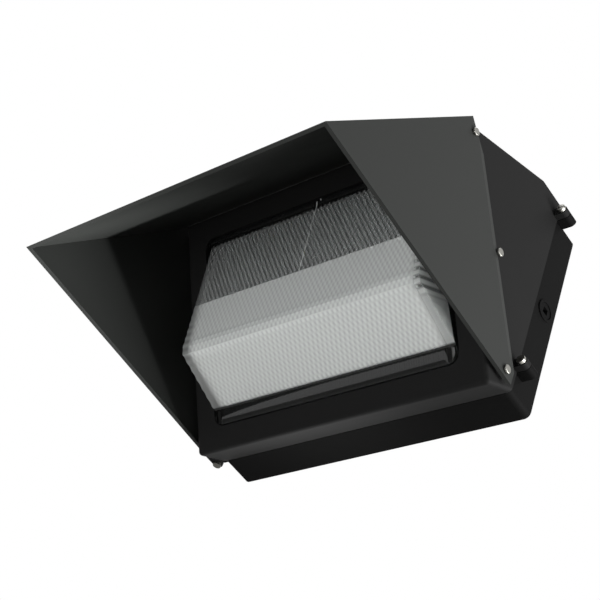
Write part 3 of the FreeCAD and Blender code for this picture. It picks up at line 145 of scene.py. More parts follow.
def face_sockets(tree, place):
    """Sockets of the slope and proud of the shaded point, in metres."""
    shift = add(tree, "VectorMath", {"operation": "SUBTRACT"}, i0=place, i1=MIDDLE).outputs[0]
    return [add(tree, "VectorMath", {"operation": "DOT_PRODUCT"}, i0=shift,
                i1=axis).outputs["Value"] for axis in (UP_FACE, OFF_FACE)]


print("middle of the face, mm:", [round(v / MM, 1) for v in MIDDLE])

# %% [markdown]
# Powder coat is sprayed on dry and melted in an oven.  It flows out to a fine orange peel about a
# millimetre wide, and its gloss changes a little over centimetres.  The peel is too low to be worth
# geometry, so fine noise is a bump, and broad noise changes the roughness.  The coat is so dark
# that the eye reads its form from its sheen, which is weak on a satin black.
# %% Powder coat
CAST_PEEL = (1.1, 0.25)    # width in millimetres, and strength
SHEET_PEEL = (0.9, 0.15)
PEEL_HEIGHT = 0.2
GLOSS_CLOUDS = 14.0        # per metre, so about 70 mm across
GLOSS_CHANGE = 0.05
PAINT_IOR = 1.5


def orange_peel(tree, place, peel):
    """Bump of a peel of a given width and strength."""
    width_mm, strength = peel
    fine = add(tree, "TexNoise", Vector=place, Scale=1 / (width_mm * MM), Detail=2.0)
    return add(tree, "Bump", Height=fine.outputs["Fac"], Strength=strength,
               Distance=PEEL_HEIGHT * MM)


def powder(name, code, rough, gloss, peel):
    """Powder coat on a casting or on plain sheet."""
    made, tree, out, place = material(name)
    broad = add(tree, "TexNoise", Vector=place, Scale=GLOSS_CLOUDS, Detail=3.0)
    spread = add(tree, "MapRange", Value=broad.outputs["Fac"], To_Min=rough - GLOSS_CHANGE,
                 To_Max=rough + GLOSS_CHANGE)
    bump = orange_peel(tree, place, peel)
    paint = add(tree, "BsdfPrincipled", Base_Color=srgb(code), Roughness=spread.outputs[0],
                IOR=PAINT_IOR, Specular_IOR_Level=gloss, Normal=bump.outputs[0])
    return finish_material(made, tree, out, paint)


# The door's casting: satin black, a little textured by the cast skin under the coat.
CASTING = powder("black_powder_coat_casting", "191919", 0.6, 0.035, CAST_PEEL)
# The rear casting: the same coat, which looks darker in the photograph, so its darker colour is
# painted shade.
SHADED_REAR_CASTING = powder("black_powder_coat_rear_casting_painted_shade", "0f0f0f", 0.6, 0.015, CAST_PEEL)
# Inside of the hood: a duller coat on smooth sheet, darker than outside; the darker colour is
# painted shade under the hood.
SHADED_SHEET_INSIDE = powder("matt_black_coat_hood_inside_painted_shade", "181918", 0.65, 0.04, SHEET_PEEL)

# %% [markdown]
# The hood is steel sheet, coated like the castings but smoother and a little greyer.  Its sides
# roll inwards at their rear edge, which shows as a narrow light line.  The CAD sheet ends square.
# Bending it would move the edge off its screws, so a bump follows the edge, a few millimetres wide.
# %% Sheet of the hood
HOOD_LAP = 33.2          # rear edge of a side, behind the middle of the face
HOOD_LAP_RISE = 0.0333   # how much less, for each millimetre up the face
ROLL_START = -1
ROLL_WIDTH = 5
ROLL_DEPTH = 4


def rolled_sheet(name, code, rough, gloss):
    """Powder coat on sheet whose sides roll inwards at their rear edge."""
    made, tree, out, place = material(name)
    bump = orange_peel(tree, place, SHEET_PEEL)
    slope, proud = face_sockets(tree, place)
    lap = add(tree, "Math", {"operation": "MULTIPLY_ADD"}, i0=slope, i1=-HOOD_LAP_RISE,
              i2=HOOD_LAP * MM)
    inset = add(tree, "Math", {"operation": "ADD"}, i0=proud, i1=lap.outputs[0])
    roll = add(tree, "MapRange", Value=inset.outputs[0], From_Min=ROLL_START * MM,
               From_Max=ROLL_WIDTH * MM)
    rolled = add(tree, "Bump", Height=roll.outputs[0], Strength=1.0, Distance=ROLL_DEPTH * MM,
                 Normal=bump.outputs[0])
    paint = add(tree, "BsdfPrincipled", Base_Color=srgb(code), Roughness=rough, IOR=PAINT_IOR,
                Specular_IOR_Level=gloss, Normal=rolled.outputs[0])
    return finish_material(made, tree, out, paint)


SHEET = rolled_sheet("black_powder_coat_sheet", "282928", 0.5, 0.06)

# %% [markdown]
# Zinc plate, drawn aluminium and turned brass are bare metal with a grain of half a millimetre or
# so.  A metal has no colour under its shine, so the base colour is that of its reflection, and the
# grain changes its roughness more than its form.
# %% Plated and bare metal
GRAIN = 0.6
GRAIN_DEPTH = 0.05
SMOOTHER, ROUGHER = 0.06, 0.08    # how far the grain changes the roughness, down and up


def metal(name, code, rough):
    """Bare or plated metal with a fine grain."""
    made, tree, out, place = material(name)
    fine = add(tree, "TexNoise", Vector=place, Scale=1 / (GRAIN * MM), Detail=2.0)
    spread = add(tree, "MapRange", Value=fine.outputs["Fac"], To_Min=rough - SMOOTHER,
                 To_Max=rough + ROUGHER)
    bump = add(tree, "Bump", Height=fine.outputs["Fac"], Strength=0.15,
               Distance=GRAIN_DEPTH * MM)
    face = add(tree, "BsdfPrincipled", Base_Color=srgb(code), Metallic=1.0,
               Roughness=spread.outputs[0], Normal=bump.outputs[0])
    return finish_material(made, tree, out, face)


# Zinc on screws: a grey shine with small bright glints on the heads.
ZINC = metal("zinc_plated_screw", "8a8984", 0.3)
# Zinc on pressed sheet: paler and duller than on turned screws.
BRACKET = metal("zinc_plated_sheet", "b8b8b4", 0.38)
# The capacitor's drawn can: a soft bright streak along its side.
CAN = metal("drawn_aluminium_can", "c6c8ca", 0.3)
# Brass of terminals and lamp base: a warm, slightly dull shine.
BRASS = metal("plain_brass", "c9a45a", 0.32)

# %% [markdown]
# The reflector is bright aluminium sheet, hammered all over with shallow round dents that break up
# the image of the lamp.  The dents are about 5 mm wide.  Thousands of modelled dents would only
# show with the door open, so a smooth Voronoi pattern stands for them, as a bump.
# %% Hammered reflector
DENT = 5.0
DENT_DEPTH = 0.6


def hammered(name, code, rough):
    """Bright sheet beaten all over with shallow round dents."""
    made, tree, out, place = material(name)
    dents = add(tree, "TexVoronoi", {"feature": "SMOOTH_F1"}, Vector=place,
                Scale=1 / (DENT * MM), Smoothness=0.6)
    bump = add(tree, "Bump", Height=dents.outputs["Distance"], Strength=0.5,
               Distance=DENT_DEPTH * MM)
    face = add(tree, "BsdfPrincipled", Base_Color=srgb(code), Metallic=1.0, Roughness=rough,
               Normal=bump.outputs[0])
    return finish_material(made, tree, out, face)


MIRROR = hammered("hammered_aluminium_reflector", "dfe2e4", 0.18)

# %% [markdown]
# The ballast's core is a stack of varnished steel laminations and its coil is wound of enamelled
# wire.  Real laminations are 0.5 mm and the wire is 0.8 mm; both are drawn about twice as coarse,
# because the real ones are too fine to show.  A cosine along the stack tints and raises the layers.
# %% Laminations and winding
LAMINATION_PITCH = 1.0
WIRE_PITCH = 1.4
LAYER_DEPTH = 0.15


def wave(tree, value, pitch_mm):
    """Socket of the cosine of a length, one turn over a pitch."""
    turn = add(tree, "Math", {"operation": "MULTIPLY"}, i0=value, i1=math.tau / (pitch_mm * MM))
    return add(tree, "Math", {"operation": "COSINE"}, i0=turn.outputs[0]).outputs[0]


def layered(name, codes, rough, metallic, pitch_mm):
    """Stack or winding whose layers show as fine lines, one above the other."""
    made, tree, out, place = material(name)
    height = add(tree, "SeparateXYZ", Vector=place).outputs["Z"]
    tone = add(tree, "MapRange", Value=wave(tree, height, pitch_mm), From_Min=-1.0, From_Max=1.0)
    tint = add(tree, "Mix", {"data_type": "RGBA"}, i0=tone.outputs[0], i6=srgb(codes[0]),
               i7=srgb(codes[1]))
    bump = add(tree, "Bump", Height=tone.outputs[0], Strength=0.4, Distance=LAYER_DEPTH * MM)
    face = add(tree, "BsdfPrincipled", Base_Color=tint.outputs[2], Metallic=metallic,
               Roughness=rough, Normal=bump.outputs[0])
    return finish_material(made, tree, out, face)


# Varnished steel: dark grey lines with a dull metal shine.
LAMINATION = layered("varnished_laminations", ("3a3a3c", "5c5c5e"), 0.45, 0.8, LAMINATION_PITCH)
# Varnished copper wire: brown, glossy, slightly metallic.
WINDING = layered("varnished_winding", ("5e2a0e", "8c4518"), 0.3, 0.2, WIRE_PITCH)

# %% [markdown]
# Rubber, moulded plastic, porcelain and frosted quartz differ to the eye in colour and gloss.  All
# have a faint unevenness about a millimetre wide, from the mould or the glaze, so they share one
# function with a weak bump.
# %% Moulded, glazed and frosted pieces
SKIN = 1.0
SKIN_DEPTH = 0.1


def moulded(name, code, rough):
    """Moulded, glazed or frosted surface with a faint unevenness."""
    made, tree, out, place = material(name)
    fine = add(tree, "TexNoise", Vector=place, Scale=1 / (SKIN * MM), Detail=2.0)
    bump = add(tree, "Bump", Height=fine.outputs["Fac"], Strength=0.1, Distance=SKIN_DEPTH * MM)
    face = add(tree, "BsdfPrincipled", Base_Color=srgb(code), Roughness=rough,
               Normal=bump.outputs[0])
    return finish_material(made, tree, out, face)


# Silicone: a dark dull line between the halves and round the glass.
RUBBER = moulded("silicone_seal", "2a2a2a", 0.7)
# The ignitor's case: black plastic with a half gloss.
POTTING = moulded("moulded_black_case", "232324", 0.5)
# The terminal block: cream plastic.
MOULDED = moulded("moulded_terminal_block", "ddd9cc", 0.45)
# The lamp socket: white porcelain under a wet-looking glaze.
PORCELAIN = moulded("glazed_porcelain", "eeebe0", 0.15)
# The arc tube: quartz, frosted white.
QUARTZ = moulded("frosted_arc_tube", "e8e8e4", 0.3)

# %% [markdown]
# The bulb is blown clear glass.  It has no pattern of its own: the eye sees it by its highlights
# and by what bends behind it, so a smooth transmitting surface is enough.
# %% Bulb glass
GLASS_IOR = 1.47


def clear_bulb():
    """Blown clear glass."""
    made, tree, out, _ = material("clear_bulb_glass")
    glass = add(tree, "BsdfPrincipled", Base_Color=srgb("f4f8f6"), Roughness=0.02, IOR=GLASS_IOR,
                Transmission_Weight=1.0)
    return finish_material(made, tree, out, glass)


BULB = clear_bulb()

# %% [markdown]
# Each CAD node gets the finish of the real part.  Most show only with the door open.  Nodes that
# have a finer piece later are hidden by it, and get a finish all the same.
# %% Give every CAD node its finish
BY_FINISH = {
    CASTING: ["front_housing"],
    SHADED_REAR_CASTING: ["rear_housing", "conduit_plugs"],
    SHEET: ["hood"],
    ZINC: ["gear_bracket_screws", "ballast_bolts", "terminal_block_screws", "ground_screw",
           "reflector_arm_screws", "reflector_screws", "socket_bracket_screws",
           "lens_clip_screws", "hood_screws", "closing_screw_upper", "closing_screw_lower",
           "hinge_pins", "arc_tube_mount"],
    BRACKET: ["gear_bracket", "capacitor_strap", "reflector_arm_right", "reflector_arm_left",
              "socket_bracket", "lens_clips"],
    MIRROR: ["reflector"],
    LAMINATION: ["ballast_core"],
    CAN: ["capacitor"],
    BRASS: ["terminal_clamp_screws", "socket_shell", "lamp_base"],
    RUBBER: ["housing_gasket", "lens_gasket"],
    WINDING: ["ballast_coil"],
    POTTING: ["ignitor"],
    MOULDED: ["terminal_block"],
    PORCELAIN: ["lamp_socket"],
    QUARTZ: ["arc_tube"],
    BULB: ["lamp_bulb", "lens"],
}
for finish, names in BY_FINISH.items():
    for name in names:
        mesh = NODES[name].data
        mesh.materials.clear()
        mesh.materials.append(finish)
print("nodes with a finish:", sum(len(names) for names in BY_FINISH.values()))

# %% [markdown]
# A CAD node is a mesh of loose triangles.  To work on it, a copy has its doubles merged and its
# coplanar triangles joined to whole faces again, which leaves clean edges to bevel.  The CAD node
# itself is left alone, and the finished piece rides on its body in its place.
# %% From a CAD solid to a piece
SAME_POINT = 0.002


def solid_of(node, flat=1.0):
    """Editable copy of a CAD node, its triangles joined where they turn less than flat degrees."""
    bm = bmesh.new()
    bm.from_mesh(NODES[node].data)
    bmesh.ops.remove_doubles(bm, verts=bm.verts, dist=SAME_POINT * MM)
    bmesh.ops.dissolve_limit(bm, angle_limit=math.radians(flat), verts=bm.verts,
                             edges=bm.edges)
    return bm


def piece(name, bm, finish, body, node, smooth=30):
    """Object made of an editable mesh, riding on a body in place of a CAD node."""
    mesh = bpy.data.meshes.new(name)
    bm.normal_update()
    bm.to_mesh(mesh)
    bm.free()
    mesh.materials.append(finish)
    mesh.shade_smooth()
    mesh.set_sharp_from_angle(angle=math.radians(smooth))
    made = bpy.data.objects.new(name, mesh)
    bpy.context.scene.collection.objects.link(made)
    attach(made, body)
    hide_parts(node)
    print("piece:", name, "faces:", len(mesh.polygons), "rides on", body)
    return made


# %% [markdown]
# Casting and paint leave no knife edges.  A Bevel modifier rounds the edges that the CAD left
# sharp by half a millimetre or so, which gives each the thin light line that the eye expects.  A
# Weighted Normal modifier then keeps the large faces flat; without it they would shade towards the
# rounded edges.
# %% Rounding sharp edges
SHARP = 35


def softened(node, finish, width_mm, steps=2):
    """The piece of a CAD solid with its sharp edges rounded."""
    made = piece(node + "_piece", solid_of(node), finish, BODY[node], node)
    bevel = made.modifiers.new("edge", "BEVEL")
    bevel.width = width_mm * MM
    bevel.segments = steps
    bevel.limit_method = "ANGLE"
    bevel.angle_limit = math.radians(SHARP)
    level = made.modifiers.new("flat_faces", "WEIGHTED_NORMAL")
    level.weight = 100
    level.keep_sharp = True
    return made


# %% [markdown]
# The two castings: the tray on the wall and the door in front of it.  Their shapes come whole from
# the CAD, so only their edges are rounded.
# %% Castings
CAST_EDGE = 0.6
softened("rear_housing", SHADED_REAR_CASTING, CAST_EDGE)
softened("front_housing", CASTING, CAST_EDGE)
print("cast edges rounded by", CAST_EDGE, "mm")

# %% [markdown]
# The hood is one folded sheet with a finish outside and a duller, darker one inside, whose
# darker colour is painted shade under the hood.  A face belongs to the inside if it looks towards
# a point under the hood; the small faces of hems and cut edges keep the outer finish.
# %% Hood
UNDER_HOOD = Vector((0, -0.22, -0.05))
SHEET_EDGE = 0.45
LOOKS_IN = 0.02      # metres from the face's plane to the point
LARGE_FACE = 0.001   # square metres


def coat_inside(made, finish, middle):
    """Give the large faces that look towards a middle point a finish of their own."""
    made.data.materials.append(finish)
    inner = [face for face in made.data.polygons
             if (middle - Vector(face.center)).dot(face.normal) > LOOKS_IN
             and face.area > LARGE_FACE]
    for face in inner:
        face.material_index = 1
    print(made.name, "faces coated inside:", len(inner))


coat_inside(softened("hood", SHEET, SHEET_EDGE), SHADED_SHEET_INSIDE, UNDER_HOOD)

# %% [markdown]
# The screws that show are a few pixels wide in the picture.  What the eye sees of one is a round
# head with a glint on its rim, so its edge is rounded generously, in one step more.
# %% Screws
HOOD_HEAD_EDGE = 0.8
CLOSING_HEAD_EDGE = 0.7
softened("hood_screws", ZINC, HOOD_HEAD_EDGE, 3)
for name in ("closing_screw_upper", "closing_screw_lower"):
    softened(name, ZINC, CLOSING_HEAD_EDGE, 3)

# %% [markdown]
# The refractor is a bowl of pressed glass with two facets that meet in a nose.  Both facets carry
# a field of small lozenge prisms, the end walls have level ribs, and the rim round the bowl has
# short flutes.  The CAD solid has the bowl's main form, and these are its sizes in millimetres,
# with slopes measured up the face from its middle.
# %% Sizes of the glass
NOSE = 53.0          # nose, proud of the face
NOSE_HALF = 167.0    # half the width at the nose
RIDGE_TOP = -30.5    # the nose's blunt ridge, from this slope
RIDGE_FOOT = -38.5   # down to this one
TOP_FOOT = 108.0     # slope where the upper facet meets the rim
LOW_FOOT = -97.5     # slope where the lower facet meets the rim
TOP_INSET = 9.0      # how far each end wall leans in on its way to the top
RIM = 1.0            # rim, proud of the face
RIM_HALF = 115.2     # half the height of the rim
WALL = 5.0           # thickness of the glass
END_ROUND = 13.0     # rounding between facets and end walls, outside
PITCH = 6.2          # width of a lozenge, and twice that of a rim flute's streak
DIAMOND = 11.0       # height of a lozenge
END_PITCH = 9.4      # rib to rib on the end walls
RELIEF = 0.9         # height of lozenges, ribs and flutes
EDGE = 1.5           # smooth margin along edges
print("lozenges across the nose:", round(2 * NOSE_HALF / PITCH))

# %% [markdown]
# To divide the glass by its facets, each facet has to be found again in the mesh.  A facet is known
# by the way it looks, worked out from the sizes above, and by how far proud of the face it lies.
# Picking faces by their number would break with every change of the CAD.
# %% Facets of the glass
ALIGNED = 0.995
ENDWAYS = 0.95
RIM_PLAY = 0.4


def slope_normal(run, fall):
    """Outward normal, in face parts, of a facet that falls over a run up the face."""
    return Vector((0, fall, run)).normalized()


OUTWARD = {"upper": slope_normal(TOP_FOOT - RIDGE_TOP, NOSE - RIM),
           "lower": slope_normal(RIDGE_FOOT - LOW_FOOT, RIM - NOSE),
           "rim": Vector((0, 0, 1))}


def facets(bm, kind):
    """Faces of one kind (upper, lower, side or rim) on the outside of the glass."""
    found = []
    for face in bm.faces:
        normal = to_face(face.normal)
        x, _, proud = face_place(face.calc_center_median())
        if kind == "side":
            wanted = abs(normal.x) > ENDWAYS and normal.x * x > 0 and proud > 2 * RIM
        elif kind == "rim":
            wanted = normal.dot(OUTWARD[kind]) > ALIGNED and abs(proud - RIM) < RIM_PLAY
        else:
            wanted = normal.dot(OUTWARD[kind]) > ALIGNED and proud > RIM
        if wanted:
            found.append(face)
    return found


bm = solid_of("lens", 0.5)
print("faces of each kind:", {kind: len(facets(bm, kind)) for kind in (*OUTWARD, "side")})

# %% [markdown]
# Pressed glass is round wherever the mould is, most of all where the facets run into the end walls.
# The wall is 5 mm thick, so the outside is rounded by 13 mm and the inside by the 8 mm that are
# left.  Bevelling those edges in the mesh, before the prisms, lets the prisms stop short of them.
# %% Rounded ends
FACETWAYS = 0.75


def end_edges(bm, way):
    """Edges where the facets and the ridge meet the end walls, outside (1) or inside (-1)."""
    found = []
    for edge in bm.edges:
        normals = [to_face(face.normal) * way for face in edge.link_faces]
        x, _, proud = face_place((edge.verts[0].co + edge.verts[1].co) / 2)
        ends = [normal for normal in normals if abs(normal.x) > ENDWAYS and normal.x * x > 0]
        tops = [normal for normal in normals
                if max(normal.dot(OUTWARD["upper"]), normal.dot(OUTWARD["lower"])) > FACETWAYS]
        if proud > 2 * RIM and ends and tops and len(edge.link_faces) == 2:
            found.append(edge)
    return found


for way, radius in ((1, END_ROUND), (-1, END_ROUND - WALL)):
    ends = end_edges(bm, way)
    bmesh.ops.bevel(bm, geom=ends, offset=radius * MM, segments=6, profile=0.5,
                    affect="EDGES", clamp_overlap=True)
    print("glass end edges rounded by", radius, "mm:", len(ends))

# %% [markdown]
# The prisms are modelled, because they break up the glass's highlights and its outline.  Each facet
# is divided along a grid of lines half a lozenge apart, by planes that cut only that facet.  An
# array of separate pyramids would leave gaps at the edges; dividing keeps the glass closed.
# %% Dividing the glass
RIB_LINES = 41
AXES = {"x": Vector((1, 0, 0)), "slope": UP_FACE, "proud": OFF_FACE}
HALF_PITCH = PITCH / 2
HALF_RIB = END_PITCH / 2


def cut(bm, kind, axis, values):
    """Divide the faces of one kind along planes across x, slope or proud."""
    for value in values:
        parts = [part for face in facets(bm, kind) for part in (face, *face.edges, *face.verts)]
        spot = MIDDLE + AXES[axis] * value * MM
        bmesh.ops.bisect_plane(bm, geom=list(dict.fromkeys(parts)), plane_co=spot,
                               plane_no=AXES[axis], dist=0.0001 * MM)


def rows_between(start, end, normal):
    """Dividing lines half a lozenge apart, measured on a facet that leans, and their step."""
    step = DIAMOND / 2 * normal.z
    count = int(abs(end - start) / step)
    return [start + math.copysign(step * i, end - start) for i in range(1, count)], step


upper_rows, upper_row = rows_between(RIDGE_TOP, TOP_FOOT, OUTWARD["upper"])
lower_rows, lower_row = rows_between(RIDGE_FOOT, LOW_FOOT, OUTWARD["lower"])
count = math.ceil(NOSE_HALF / HALF_PITCH)
across = [HALF_PITCH * i for i in range(-count, count + 1)]
cut(bm, "upper", "x", across)
cut(bm, "upper", "slope", upper_rows)
cut(bm, "lower", "x", across)
cut(bm, "lower", "slope", lower_rows)
cut(bm, "side", "slope", [LOW_FOOT + HALF_RIB * i for i in range(1, RIB_LINES + 1)])
cut(bm, "side", "proud", [RIM + EDGE, NOSE - EDGE])
cut(bm, "rim", "x", across)
cut(bm, "rim", "slope", [LOW_FOOT - EDGE, EDGE - RIM_HALF, TOP_FOOT + EDGE, RIM_HALF - EDGE])
print("glass faces after dividing:", len(bm.faces))

# %% [markdown]
# On a field of lozenges every second crossing of the grid is a peak, as on a chess board.  On the
# end walls every second line is the crest of a rib, and on the rim that of a flute.  The peaks
# are picked by their place, and only inside a facet, so that the facet's outline stays as pressed.
# %% Peaks of the prisms
SMOOTH_END = 2.0
LEAN = TOP_INSET / (TOP_FOOT - RIDGE_TOP)


def near_end(x, slope):
    """True on the smooth margin of a facet, along its rounded end."""
    half = NOSE_HALF - max(slope - RIDGE_TOP, 0) * LEAN
    return abs(x) > half - END_ROUND - SMOOTH_END


def high_line(value, step):
    """True on every second dividing line."""
    return round(value / step) % 2 == 1


def is_peak(kind, x, slope):
    """True where dividing lines cross on top of a lozenge, a rib or a flute."""
    if kind == "side":
        return high_line(slope - LOW_FOOT, HALF_RIB)
    odd = high_line(x, HALF_PITCH)
    if kind == "rim":
        return odd
    if near_end(x, slope):
        return False
    if kind == "upper":
        return odd != high_line(slope - RIDGE_TOP, upper_row)
    return odd != high_line(RIDGE_FOOT - slope, lower_row)


bm.normal_update()
kinds = {kind: facets(bm, kind) for kind in ("upper", "lower", "side", "rim")}
peaks = {}
for kind, faces in kinds.items():
    own = set(faces)
    for vert in dict.fromkeys(vert for face in faces for vert in face.verts):
        x, slope, _ = face_place(vert.co)
        if all(face in own for face in vert.link_faces) and is_peak(kind, x, slope):
            peaks[vert] = kind
print("glass peaks:", len(peaks))

# %% [markdown]
# A square face with one raised corner would bend either way.  Each face of the lozenge fields is
# therefore split between its two low corners first, so that every peak becomes a clean pyramid.
# Then the peaks move out of their facet by the height of the relief.
# %% Raising the prisms


def crease(bm, faces):
    """Split each face of a lozenge field between its low corners."""
    for face in faces:
        low = [vert for vert in face.verts if vert not in peaks]
        if len(face.verts) == 4 and len(low) == 2 and bm.edges.get(low) is None:
            bmesh.utils.face_split(face, low[0], low[1])


crease(bm, kinds["upper"] + kinds["lower"])
for vert, kind in peaks.items():
    normal = OUTWARD.get(kind) or Vector((math.copysign(1, vert.co.x), 0, 0))
    vert.co += from_face(normal) * RELIEF * MM
print("glass faces after creasing:", len(bm.faces))

# %% [markdown]
# The glass has two surfaces with finishes of their own.  The outside is clear and carries the
# prisms.  The inside is clear at the top and frosted white below a level line.  A face belongs to
# the inside if it looks towards a core within the bowl.
# %% Inside of the glass
CORE_SHARE = 0.8
CORE_SLOPE = -20


def inside_faces(bm):
    """Faces of the raised glass that look inwards."""
    found = []
    for face in bm.faces:
        place = face_place(face.calc_center_median())
        core = Vector((place.x * CORE_SHARE, CORE_SLOPE, 0))
        if place.z > RIM + 2 * EDGE and to_face(face.normal).dot(place - core) < 0:
            found.append(face)
    return found


inside = inside_faces(bm)
for face in inside:
    face.material_index = 1
print("glass faces inside:", len(inside))

# %% [markdown]
# In the photograph the glass turns milky below one level line across its upper facet.  Frosted
# glass scatters part of the light back, which makes it white, and lets the rest through, scattered
# too.  Roughness alone would leave it grey, so a white front and a translucent body are mixed.
# %% Frosting of the glass
ZONE_SLOPE = 23.5    # the line below which the glass is milky
SCATTERED = "f6f8f7"


def below_zone(tree, slope):
    """Socket that is 1 below the line of the milky zone and 0 above it."""
    return add(tree, "Math", {"operation": "LESS_THAN"}, i0=slope, i1=ZONE_SLOPE * MM).outputs[0]


def frosted(tree, code, rough, passing):
    """White front of frosted glass, with a share of the light passing through it."""
    front = add(tree, "BsdfPrincipled", Base_Color=srgb(code), Roughness=rough, IOR=GLASS_IOR)
    through = add(tree, "BsdfTranslucent", Color=srgb(SCATTERED))
    return add(tree, "MixShader", i0=passing, i1=front.outputs[0], i2=through.outputs[0])


print("milky zone above the nose's ridge, mm:", ZONE_SLOPE - RIDGE_TOP)

# %% [markdown]
# The outside's prisms carry painted light: a share of frosted white glass from 0 to 1 paints
# highlights and shade in the pattern of the lozenges, and more light in the milky zone.  It is
# built from four patterns with the pitches of the geometry: here the lozenges and the ribs of the
# end walls, with painted shade as dark lines between the ribs for a short way near the nose, then
# seam and rim.
# %% Painted light on lozenges and ribs
# In the notes below, haze means this painted light.
RIB_MIDDLE = -24.0   # slope of the middle of the stretch with dark lines
RIB_REACH = 22.0     # and how far they reach from there
RIB_FADE = 6.0
RIB_REST = 0.4       # haze of an end wall without ribs, on the scale of the wave
ROUNDING = (NOSE_HALF - END_ROUND) * MM
END_WALL = (NOSE_HALF - END_ROUND / 2) * MM
CLEAR_PAINTED_LIGHT = (0.0, 0.3)      # between the lozenges' peaks and on them, in the clear zone
MILKY_PAINTED_LIGHT = (0.32, 0.5)     # the same in the milky zone
END_PAINTED_LIGHT = (0.1, 0.95)       # between the ribs and on them
RIB_CREST = 0.6              # height of the wave from which a rib is fully white


def end_share(tree, x):
    """Socket that is 0 on the facets and 1 on the end walls."""
    side = add(tree, "Math", {"operation": "ABSOLUTE"}, i0=x).outputs[0]
    return add(tree, "MapRange", Value=side, From_Min=ROUNDING, From_Max=END_WALL).outputs[0]


def end_ribs(tree, slope):
    """Wave of the ribs from -1 to 1, which fades out above and below."""
    away = add(tree, "Math", {"operation": "SUBTRACT"}, i0=slope, i1=RIB_MIDDLE * MM).outputs[0]
    away = add(tree, "Math", {"operation": "ABSOLUTE"}, i0=away).outputs[0]
    ribbed = add(tree, "MapRange", Value=away, From_Min=RIB_REACH * MM,
                 From_Max=(RIB_REACH + RIB_FADE) * MM, To_Min=1.0, To_Max=0.0).outputs[0]
    return add(tree, "Mix", i0=ribbed, i2=RIB_REST, i3=wave(tree, slope, END_PITCH)).outputs[0]


def field_painted_light(tree, x, slope, ribs, below):
    """Painted light of the bowl: by lozenges on the facets and by ribs on the end walls."""
    lozenge = add(tree, "Math", {"operation": "MULTIPLY"}, i0=wave(tree, x, PITCH),
                  i1=wave(tree, slope, DIAMOND * OUTWARD["upper"].z)).outputs[0]
    pattern = add(tree, "Mix", i0=end_share(tree, x), i2=lozenge, i3=ribs).outputs[0]
    low, high = [add(tree, "MapRange", Value=below, To_Min=clear, To_Max=milky).outputs[0]
                 for clear, milky in zip(CLEAR_PAINTED_LIGHT, MILKY_PAINTED_LIGHT)]
    painted_light_share = add(tree, "MapRange", Value=pattern, From_Min=-1.0, From_Max=1.0, To_Min=low,
               To_Max=high).outputs[0]
    # The right end wall, the lit one, is painted white on its ribs as painted highlights and dark
    # between them as painted shade; the left has the facets' painted light.
    lit_end = add(tree, "Math", {"operation": "GREATER_THAN"}, i0=x, i1=END_WALL).outputs[0]
    right_end_painted_light = add(tree, "MapRange", Value=ribs, From_Min=-1.0, From_Max=RIB_CREST,
                   To_Min=END_PAINTED_LIGHT[0], To_Max=END_PAINTED_LIGHT[1]).outputs[0]
    return add(tree, "Mix", i0=lit_end, i2=painted_light_share, i3=right_end_painted_light).outputs[0]


print("lozenge rows on the upper and lower facet:", len(upper_rows) // 2, len(lower_rows) // 2)

# %% [markdown]
# The mould has a seam, which the photograph shows as one thin slanting line over the clear zone.
# It is hundredths of a millimetre high, so it is drawn as a painted highlight, a line of white
# frosted glass, wider than the real one because that would be too fine to show.  The rim's flutes
# get only a trace of painted highlight, in streaks.
# %% Painted highlights on seam and rim
SEAM_LEAN = 0.095    # how far the seam moves across, for each millimetre up the face
SEAM_START = -5.2    # its x in the middle of the face
SEAM_HALF = 0.6
SEAM_PAINTED_HIGHLIGHT = 0.5
FLUTE_PAINTED_HIGHLIGHT = 0.02


def seam_painted_highlight(tree, x, slope, below):
    """Painted highlight of the seam, above the milky zone only."""
    line = add(tree, "Math", {"operation": "MULTIPLY_ADD"}, i0=slope, i1=SEAM_LEAN,
               i2=SEAM_START * MM).outputs[0]
    off = add(tree, "Math", {"operation": "SUBTRACT"}, i0=x, i1=line).outputs[0]
    off = add(tree, "Math", {"operation": "ABSOLUTE"}, i0=off).outputs[0]
    on_seam = add(tree, "Math", {"operation": "LESS_THAN"}, i0=off, i1=SEAM_HALF * MM).outputs[0]
    bare = add(tree, "Math", {"operation": "SUBTRACT"}, i0=on_seam, i1=below).outputs[0]
    return add(tree, "Math", {"operation": "MULTIPLY", "use_clamp": True}, i0=bare,
               i1=SEAM_PAINTED_HIGHLIGHT).outputs[0]


def flute_painted_highlights(tree, x):
    """Painted highlights of the rim, in streaks twice as dense as the lozenges."""
    return add(tree, "MapRange", Value=wave(tree, x, PITCH / 2), From_Min=-1.0, From_Max=1.0,
               To_Min=0.0, To_Max=FLUTE_PAINTED_HIGHLIGHT).outputs[0]


print("seam at the top of the glass, x in mm:", round(SEAM_START + SEAM_LEAN * TOP_FOOT, 1))

# %% [markdown]
# Outside of the pressed glass.  The bowl is almost colourless.  Under the rim there is only the
# black seal and the casting, so the rim looks black; its tint stands for that darkness, and it has
# no mirror image of the white studio, which the flutes break up on the real one.
# %% Pressed glass
BOWL_TINT = "f2f4f3"
RIM_TINT = "0e0f0f"
END_PASSING = 0.7


